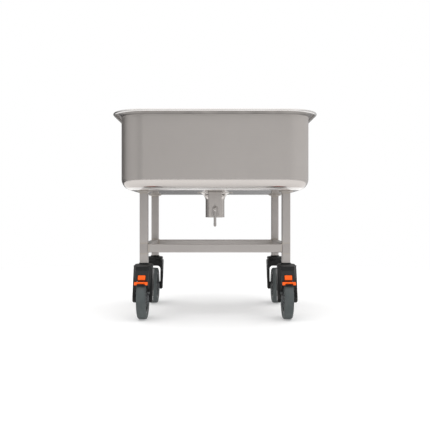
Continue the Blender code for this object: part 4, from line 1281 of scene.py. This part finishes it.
    def head_mesh(self) -> Mesh:
        """The round head: a soft top edge, and a groove above the shoulder."""
        crown, groove, edge, low = self.head / 2, 0.0014, 0.004, self.arch + 0.006
        line = self.shoulder + 0.0015
        profile = [(0, self.head_top)] + arc((crown - edge, self.head_top - edge), edge, 90, 0, 8)
        profile += [(crown, line + 0.0036), (crown - groove, line + 0.0028), (crown - groove, line + 0.0008),
                    (crown, line), (crown, low), (0, low)]
        return turned(profile, 96)

    def bosses(self) -> list[Mesh]:
        """The two bosses inside the fork that the hub runs between."""
        face, inner = self.hub_width / 2 + GAP, self.fork_inside / 2
        spans = ((face, inner + 0.002), (-inner - 0.002, -face))
        return [rod(self.boss / 2 - 0.001, low, high, self.axle_line) for low, high in spans]

    def pockets(self) -> list[Mesh]:
        """Two shallow pockets in each outer cheek, with a rib left between them."""
        high, low, floor, length = 0.163, 0.101, 0.0341, 0.020
        spans = ((-0.032, -0.0095, -0.0305, -0.0435), (-0.0055, 0.017, -0.0155, -0.0265))
        outlines = [filleted(list(zip(span, (high, high, low, low))), 0.0035) for span in spans]
        places = [moved(side * (floor + length / 2)) @ DRAWN_IN_YZ for side in (-1, 1)]
        return [prism([outline], length, place) for place in places for outline in outlines]

    def axle_face(self) -> float:
        """X of the outer face of the axle's heads."""
        return self.fork_width / 2 - 0.0002

    def axle_room(self) -> list[Point]:
        """Profile of what the fork leaves open for the axle and its sunk heads."""
        hole, sink = self.axle / 2 + GAP, self.axle_head / 2 + 3 * GAP
        floor, far = self.axle_face() - self.axle_head_height - GAP, self.fork_width
        return [(0, far), (sink, far), (sink, floor), (hole, floor),
                (hole, -floor), (sink, -floor), (sink, -far), (0, -far)]

    def swivel_room(self) -> list[Point]:
        """Profile of what the fork leaves open for the race and the kingpin."""
        race, shank, head = self.race / 2 + GAP, self.kingpin / 2 + GAP, self.kingpin_head / 2 + GAP
        ledge, ceiling = self.head_top - self.race_height - GAP, self.kingpin_seat + GAP
        return [(0, self.head_top + 0.002), (race, self.head_top + 0.002), (race, ledge), (shank, ledge),
                (shank, ceiling), (head, ceiling), (head, self.arch - 0.002), (0, self.arch - 0.002)]

    def kingpin_mesh(self) -> Mesh:
        """The kingpin with its domed rivet head."""
        shank, head, seat = self.kingpin / 2, self.kingpin_head / 2, self.kingpin_seat
        top, dome = self.collar_top + self.plug_height, self.kingpin_head_height
        profile = [(0, top), (shank, top), (shank, seat), (head, seat), (head, seat - dome / 2),
                   (head - 0.004, seat - dome), (0, seat - dome)]
        return shaded(turned(filleted(profile, 0.0012, 4, False), 64))

    def race_mesh(self) -> Mesh:
        """The swivel bearing: an outer and an inner ring with a dust lip between them."""
        outer, bore, top = self.race / 2, self.kingpin / 2 + GAP, self.head_top
        low, middle = top - self.race_height, (outer + bore) / 2
        profile = [(outer, top), (outer, low), (bore, low), (bore, top), (middle - 0.0022, top),
                   (middle - 0.0018, top - 0.0012), (middle + 0.0018, top - 0.0012), (middle + 0.0022, top)]
        return shaded(turned(filleted(profile, 0.0004, 3), 64))

    def plug_mesh(self) -> Mesh:
        """The expander plug with the collar that the leg stands on."""
        half = self.plug_side / 2
        low, top = self.head_top + GAP, self.collar_top
        edge = self.collar / 2
        collar = filleted([(0, top), (edge, top), (edge, low), (0, low)], 0.0014, 4, False)
        upper = top + self.plug_height
        root = top - self.collar_height / 2
        block = prism([rounded_rectangle(half, half, 0.003)], upper - root, moved(0, 0, (upper + root) / 2))
        bore = rod(self.kingpin / 2 + GAP, low - 0.002, upper + 0.002)
        return shaded(eased(cut(joined(turned(collar, 64), eased(block, 0.0008, 2)), bore), 0.0003, 2, 50))

    # Wheel

    def tyre_mesh(self) -> Mesh:
        """The tyre: a faintly crowned tread, round shoulders and stepped side walls."""
        half, seat, shoulder = self.tyre_width / 2, self.rim_seat / 2 + GAP, self.tyre_shoulder
        edge = self.radius - 0.0004
        crown = [(self.radius - 0.0004 * (x / (half - shoulder)) ** 2, x)
                 for x in [(half - shoulder) * (1 - 2 * step / 12) for step in range(13)]]
        upper = arc((edge - shoulder, half - shoulder), shoulder, 90, 4, 10)
        profile = mirrored(self.side_wall(half, seat) + upper, crown)
        return shaded(turned(profile, 144, self.axle_line), 30)

    def side_wall(self, half: float, seat: float) -> list[Point]:
        """Profile of one side wall, from the rim out to the shoulder."""
        return [(seat, self.rim_width / 2), (seat + 0.0010, half - 0.0012), (seat + 0.0022, half - 0.0005),
                (seat + 0.0032, half - 0.0005), (seat + 0.0036, half - 0.0011), (seat + 0.0044, half - 0.0011),
                (seat + 0.0048, half - 0.0002), (seat + 0.0060, half), (seat + 0.0095, half),
                (seat + 0.0098, half - 0.0003), (seat + 0.0104, half - 0.0003), (seat + 0.0107, half)]

    def centre_mesh(self) -> Mesh:
        """The wheel centre: rim, dished web and stepped hub."""
        seat, half = self.rim_seat / 2, self.rim_width / 2
        hub, bore, hub_half, web = self.hub / 2, self.hub_bore / 2, self.hub_width / 2, self.web / 2
        inner = seat - self.rim_wall
        lower = [(seat, -half), (seat - 0.0015, -half - 0.0004), (inner, -half),
                 (inner - 0.0008, -web - 0.0015), (inner - 0.0035, -web), (hub + 0.0045, -web),
                 (hub + 0.0012, -web - 0.0025),
                 (hub, -web - 0.006), (hub - 0.0008, -hub_half), (bore, -hub_half)]
        lower = [(radius, max(-hub_half, x)) for radius, x in lower]
        return shaded(turned(filleted(mirrored(lower), 0.0007, 3), 120, self.axle_line))

    def rib(self) -> Mesh:
        """One rib on each face of the web, from the hub to the rim, about the X axis."""
        inner, outer = self.hub / 2 - 0.001, self.rim_seat / 2 - self.rim_wall + 0.001
        half, web = self.rim_width / 2, self.web / 2
        outline = [(web - 0.001, inner), (half + 0.004, inner), (half - 0.001, inner + 0.010),
                   (half - 0.0035, (inner + outer) / 2), (half - 0.002, outer), (web - 0.001, outer)]
        plates = []
        for side in (-1, 1):
            drawn = filleted([(side * x, radius) for x, radius in outline], 0.002)
            plates.append(eased(prism([drawn], 0.0026, DRAWN_IN_XZ), 0.0005, 2, 50))
        return gathered(*plates)

    def wheel_bush_mesh(self) -> Mesh:
        """The plain bearing bush through the hub."""
        outer, bore, end = self.hub_bore / 2 - GAP, self.axle / 2 + GAP, self.hub_width / 2
        profile = filleted([(outer, end), (outer, -end), (bore, -end), (bore, end)], 0.0006, 3)
        return shaded(turned(profile, 64, self.axle_line))

    def axle_mesh(self) -> Mesh:
        """The axle bolt: flat heads with chamfered edges, each with a hexagon socket."""
        shaft, head = self.axle / 2, self.axle_head / 2
        face, under = self.axle_face(), self.axle_face() - self.axle_head_height
        profile = [(0, face), (head - 0.0008, face), (head, face - 0.0008), (head, under), (shaft, under),
                   (shaft, -under), (head, -under), (head, 0.0008 - face), (head - 0.0008, -face), (0, -face)]
        sockets = [prism([circle((0, 0), self.axle_socket / 2, 6)], 0.006, self.axle_line @ moved(0, 0, end))
                   for end in (face + 0.0005, -face - 0.0005)]
        bolt = turned(filleted(profile, 0.0003, 2, False), 64, self.axle_line)
        return shaded(eased(cut(bolt, *sockets), 0.0002, 2, 50))

    # Brake

    def plan(self, inset: float) -> Mesh:
        """The cover seen from above: as wide as the head at the fork, and narrower at its front."""
        wide, slim = self.head / 2 - inset, self.cover_front_width / 2 - inset
        back, knee = 0.0, -self.fork_front - 0.021
        outline = [(-wide, back), (-wide, -self.fork_front - 0.003), (-slim, knee), (-slim, -0.12),
                   (slim, -0.12), (slim, knee), (wide, -self.fork_front - 0.003), (wide, back)]
        return prism([filleted(outline, 0.010, 8)], 0.3, moved(0, 0, 0.15))

    def fork_front_edge(self, height: float) -> float:
        """Y of the fork's front edge at a height."""
        share = (self.shoulder - height) / (self.shoulder - self.hub_point[1])
        return -self.fork_front + share * (self.hub_point[0] - self.boss / 2 + self.fork_front)

    def cover_mesh(self) -> Mesh:
        """The brake cover: a brow round the head, and a sloping panel with a framed window for the button."""
        upper, lower, wall = self.upper, self.lower, self.cover_wall
        low = self.hub_point[1] + self.cheek_low
        back, brow = -self.fork_front - GAP, -self.fork_front - self.brow_reach
        top, slope = self.shoulder + self.brow_rise, self.brow_slope
        outline = [(back, top), ((back + brow) / 2, top - slope / 2), (brow, top - 2 * slope),
                   (brow, upper[1] + wall), upper, lower, (lower[0] + wall, lower[1] - self.cheek_drop),
                   (self.fork_front_edge(low) - GAP, low)]
        side = prism([filleted(outline, 0.0022)], self.head, DRAWN_IN_YZ)
        hood = combined(side, (self.plan(0.0),), "INTERSECT")
        front = wall / math.cos(math.atan2(upper[0] - lower[0], upper[1] - lower[1]))
        ceiling, far, floor = top - 2 * slope - wall, lower[0] - self.radius, self.hub_point[1]
        room = [(0, ceiling), (brow + wall, ceiling), (brow + wall, upper[1]),
                (upper[0] + front, upper[1] - wall / 2), (lower[0] + front, lower[1]), (far, lower[1]),
                (far, floor), (0, floor)]
        room_mesh = prism([room], self.head - 2 * wall, DRAWN_IN_YZ)
        inside = combined(room_mesh, (self.plan(wall),), "INTERSECT")
        half_x, half_y = self.button_size[0] / 2, self.button_size[1] / 2
        edge, ledge = 2 * GAP, 0.0024
        window = slab(half_x + edge, half_y + edge, -2 * wall, wall, self.button_frame, 0.0015)
        frame_cut = slab(half_x + ledge, half_y + ledge, -0.0008, wall, self.button_frame, 0.003)
        return shaded(moulded(cut(hood, inside, window, frame_cut), self.fine_voxel, 4), 180)

    def button_mesh(self) -> Mesh:
        """The release button: a rounded cap, its stem, and a flange that closes the gap behind it."""
        half_x, half_y = self.button_size[0] / 2, self.button_size[1] / 2
        cap = slab(half_x, half_y, -self.button_depth, self.button_proud - 0.0004, self.button_frame, 0.0014)
        stem = box((-half_x / 2, 0.001, -3 * self.button_depth), (half_x / 2, 0.007, 0), self.button_frame)
        lip, back = 0.0018, -self.button_depth - self.button_travel
        flange = slab(half_x + lip, half_y + lip, back - 0.0012, back, self.button_frame, 0.0014)
        return shaded(eased(joined(cap, stem, flange), 0.0006, 3))

    def button_ribs(self) -> Mesh:
        """Three upright grip ribs on the lower half of the button."""
        low, high = (-0.0068, -0.0076, self.button_proud - 0.0012), (-0.0042, -0.0008, self.button_proud)
        rib = eased(box(low, high, fillet=0.0012), 0.0004, 2)
        ribs = RowOfRibs().make(rib, ORANGE, Count=3, Step=(0.0053, 0.0, 0.0))
        ribs.transform(self.button_frame)
        return shaded(ribs)

    def pedal_mesh(self) -> Mesh:
        """The pedal bar with its turned-down ends and soft edges."""
        half, top, low = self.pedal_size[0] / 2, self.pedal_size[1] / 2, -self.pedal_size[1] / 2
        end, drop = self.pedal_end, low - self.pedal_drop
        outline = [(-half, top), (-half, drop), (-half + end, drop), (-half + end + 0.002, low),
                   (half - end - 0.002, low), (half - end, drop), (half, drop), (half, top)]
        place = self.pedal_frame @ moved(z=self.pedal_back + self.pedal_thickness / 2)
        bar = prism([filleted(outline, 0.0015, 5)], self.pedal_thickness - 0.0004, place @ moved(z=-0.0002))
        return shaded(eased(bar, 0.0009, 3, 50))

    def pedal_ribs(self) -> Mesh:
        """A row of fine grip lines on the pedal's face."""
        face = self.pedal_back + self.pedal_thickness
        low, high = (-0.0152, -0.0014, face - 0.0012), (-0.0140, 0.0014, face)
        rib = eased(box(low, high, fillet=0.0005), 0.0003, 2)
        ribs = RowOfRibs().make(rib, ORANGE, Count=11, Step=(0.0029, 0.0, 0.0))
        ribs.transform(self.pedal_frame)
        return shaded(ribs)

    def brake_mesh(self) -> Mesh:
        """The brake lever: two arms, their pins and the shoe between them."""
        outer = self.tyre_width / 2 + self.arm_clearance + self.arm_thickness
        low, high = self.shoe_clearance, self.shoe_clearance + self.shoe_thickness
        shoe = box((-outer, -0.008, low), (outer, 0.0075, high), self.pedal_frame)
        tip = (self.pedal_frame @ moved(z=(low + high) / 2)).translation
        slope = math.degrees(math.atan2(tip.z - self.pivot[1], tip.y - self.pivot[0]))
        half = self.arm_width / 2
        outline = arc(self.pivot, half, slope + 90, slope + 270, 16)
        for turn in (-90, 90):
            angle = math.radians(slope + turn)
            outline.append((tip.y + half * math.cos(angle), tip.z + half * math.sin(angle)))
        pieces = []
        reach = (self.fork_inside + self.fork_width) / 4
        for side in (-1, 1):
            middle = side * (outer - self.arm_thickness / 2)
            pieces.append(prism([outline], self.arm_thickness, moved(middle) @ DRAWN_IN_YZ))
            ends = sorted((middle, side * reach))
            pieces.append(rod(self.brake_pin / 2, *ends, moved(0, *self.pivot) @ ALONG_X))
        return shaded(eased(joined(shoe, *pieces), 0.0006, 2, 50))

    def build(self) -> None:
        """Makes each piece once and puts a copy of it on every caster that has it."""
        ribs = RadialRibs().make(self.rib(), WHEEL_GREY, Count=self.rib_count)
        ribs.transform(moved(0, *self.hub_point))
        every = [
            ("plug", "foot_plug", self.plug_mesh(), BLACK, "tank", "black_plastic"),
            ("kingpin", "pivot_pin", self.kingpin_mesh(), ZINC, "tank", "zinc_steel"),
            ("race", "swivel_race", self.race_mesh(), ZINC, "tank", "zinc_steel"),
            ("axle", "axle_bolt", self.axle_mesh(), ZINC, "swivel", "zinc_steel"),
            ("bush", "bearing", self.wheel_bush_mesh(), BUSHING, "wheel", "bush"),
            ("rim", "wheel_centre", self.centre_mesh(), WHEEL_GREY, "wheel", "wheel_centre"),
            ("", "wheel_ribs", shaded(ribs), WHEEL_GREY, "wheel", "wheel_centre"),
            ("tyre", "tread", self.tyre_mesh(), TYRE, "wheel", "tyre"),
        ]
        braked = [
            ("fork", "yoke", self.fork(True), BLACK, "swivel", "black_plastic"),
            ("cover", "hood", self.cover_mesh(), BLACK, "swivel", "black_plastic"),
            ("button", "release", self.button_mesh(), ORANGE, "release", "orange_plastic"),
            ("", "release_ribs", self.button_ribs(), ORANGE, "release", "orange_plastic"),
            ("brake_lever", "brake_arms", self.brake_mesh(), BLACK, "brake", "black_plastic"),
            ("pedal", "pedal_bar", self.pedal_mesh(), ORANGE, "brake", "orange_plastic"),
            ("", "pedal_ribs", self.pedal_ribs(), ORANGE, "brake", "orange_plastic"),
        ]
        plain = [("fork", "yoke", self.fork(False), BLACK, "swivel", "black_plastic")]
        stated = frame["record"]["behaviour"]["bodies"]
        bodies = {node: body for body, nodes in stated.items() for node in nodes}
        for corner, x, y in self.layout.corners():
            caster = "caster_" + corner
            parts = every + (braked if corner.startswith("f") else plain)
            for node, label, mesh, finish, body, slot in parts:
                copy = mesh.copy()
                copy.transform(moved(x, y, 0))
                rides = bodies[f"{caster}_{node}"] if node else f"{caster}_{body}"
                show(f"{label}_{corner}", copy, finish, rides, [f"{caster}_{node}"] if node else [])


# Studio


@dataclass
class Studio:
    """The pale floor, the soft light and the camera."""

    floor_radius: float = 2.2
    camera_place: Place = (0.0, -2.4075, 0.3767)
    lens: float = 50.0
    lamp_place: Place = (0.0, -0.3, 3.4)
    lamp_size: float = 4.4
    lamp_power: float = 45.0
    wall_level: float = 0.63
    ceiling_level: float = 1.15

    def floor(self) -> None:
        """A round pale floor that fades into the white behind it."""
        mesh = bpy.data.meshes.new("floor")
        outline = circle((0, 0), self.floor_radius, 96)
        mesh.from_pydata([(x, y, 0.0) for x, y in outline], [], [list(range(len(outline)))])
        paint = Paint("pale_floor", Roughness=0.9, Specular_IOR_Level=0.0, Emission_Color=WHITE,
                      Emission_Strength=0.28)
        grain = paint.noise((3.0, 3.0, 3.0), 3.0)
        tone = paint.mixed(grain, (0.75, 0.75, 0.75), (0.77, 0.77, 0.77))
        mesh.materials.append(paint.finish(Base_Color=tone))
        piece = bpy.data.objects.new("floor", mesh)
        bpy.context.scene.collection.objects.link(piece)

    def world(self) -> None:
        """White to the camera; to everything else a soft room, darkest behind on the left."""
        world = bpy.data.worlds.new("studio")
        bpy.context.scene.world = world
        world.use_nodes = True
        room = Tree(world.node_tree)
        world.node_tree.nodes.clear()
        direction = room.node("ShaderNodeTexCoord").outputs["Generated"]
        split = room.node("ShaderNodeSeparateXYZ", inputs={0: direction})
        x, y, z = (Value(room, socket) for socket in split.outputs)
        left_gap = x.rise(-0.02, -0.28) * (1.0 - x.rise(-0.40, -0.75))
        right_gap = x.rise(0.10, 0.35) * (1.0 - x.rise(0.45, 0.75))
        front = x * 0.10 + self.wall_level - left_gap * 0.17 - right_gap * 0.05
        back = x.rise(-0.4, 0.9) * 0.58 + 0.15
        behind = y.rise(-0.1, 0.6)
        above = z.rise(0.2, 0.8)
        around = front + behind * (back - front)
        light = around + above * (self.ceiling_level - around)
        seen = room.node("ShaderNodeLightPath").outputs["Is Camera Ray"]
        level = light + Value(room, seen) * (1.0 - light)
        glow = room.node("ShaderNodeBackground", inputs={"Color": WHITE, "Strength": level})
        room.node("ShaderNodeOutputWorld", inputs={"Surface": glow.outputs[0]})

    def lamp(self) -> None:
        """A soft square light above the tank, aimed at the middle of the floor."""
        data = bpy.data.lights.new("overhead", "AREA")
        data.size = self.lamp_size
        data.energy = self.lamp_power
        lamp = bpy.data.objects.new("overhead", data)
        lamp.location = self.lamp_place
        lamp.rotation_euler = (-Vector(self.lamp_place)).to_track_quat("-Z", "Y").to_euler()
        bpy.context.scene.collection.objects.link(lamp)

    def camera(self) -> None:
        """The camera, level and square to the front."""
        data = bpy.data.cameras.new("camera")
        data.lens = self.lens
        data.sensor_width = 36.0
        data.clip_end = 50.0
        camera = bpy.data.objects.new("camera", data)
        camera.location = self.camera_place
        camera.rotation_euler = (math.radians(90), 0, 0)
        bpy.context.scene.collection.objects.link(camera)
        bpy.context.scene.camera = camera

    def build(self) -> None:
        """Sets the stage."""
        self.floor()
        self.world()
        self.lamp()
        self.camera()
        bpy.context.scene.view_settings.view_transform = "Standard"
        bpy.context.scene.view_settings.look = "None"


def main() -> None:
    logging.basicConfig(level=logging.INFO, format="%(message)s")
    layout = Layout.from_frame()
    for part in (Tub(layout), Stand(layout), Outlet(layout), Caster(layout), Studio()):
        part.build()
        log.info("%s is done", type(part).__name__)


if __name__ == "__main__":
    main()
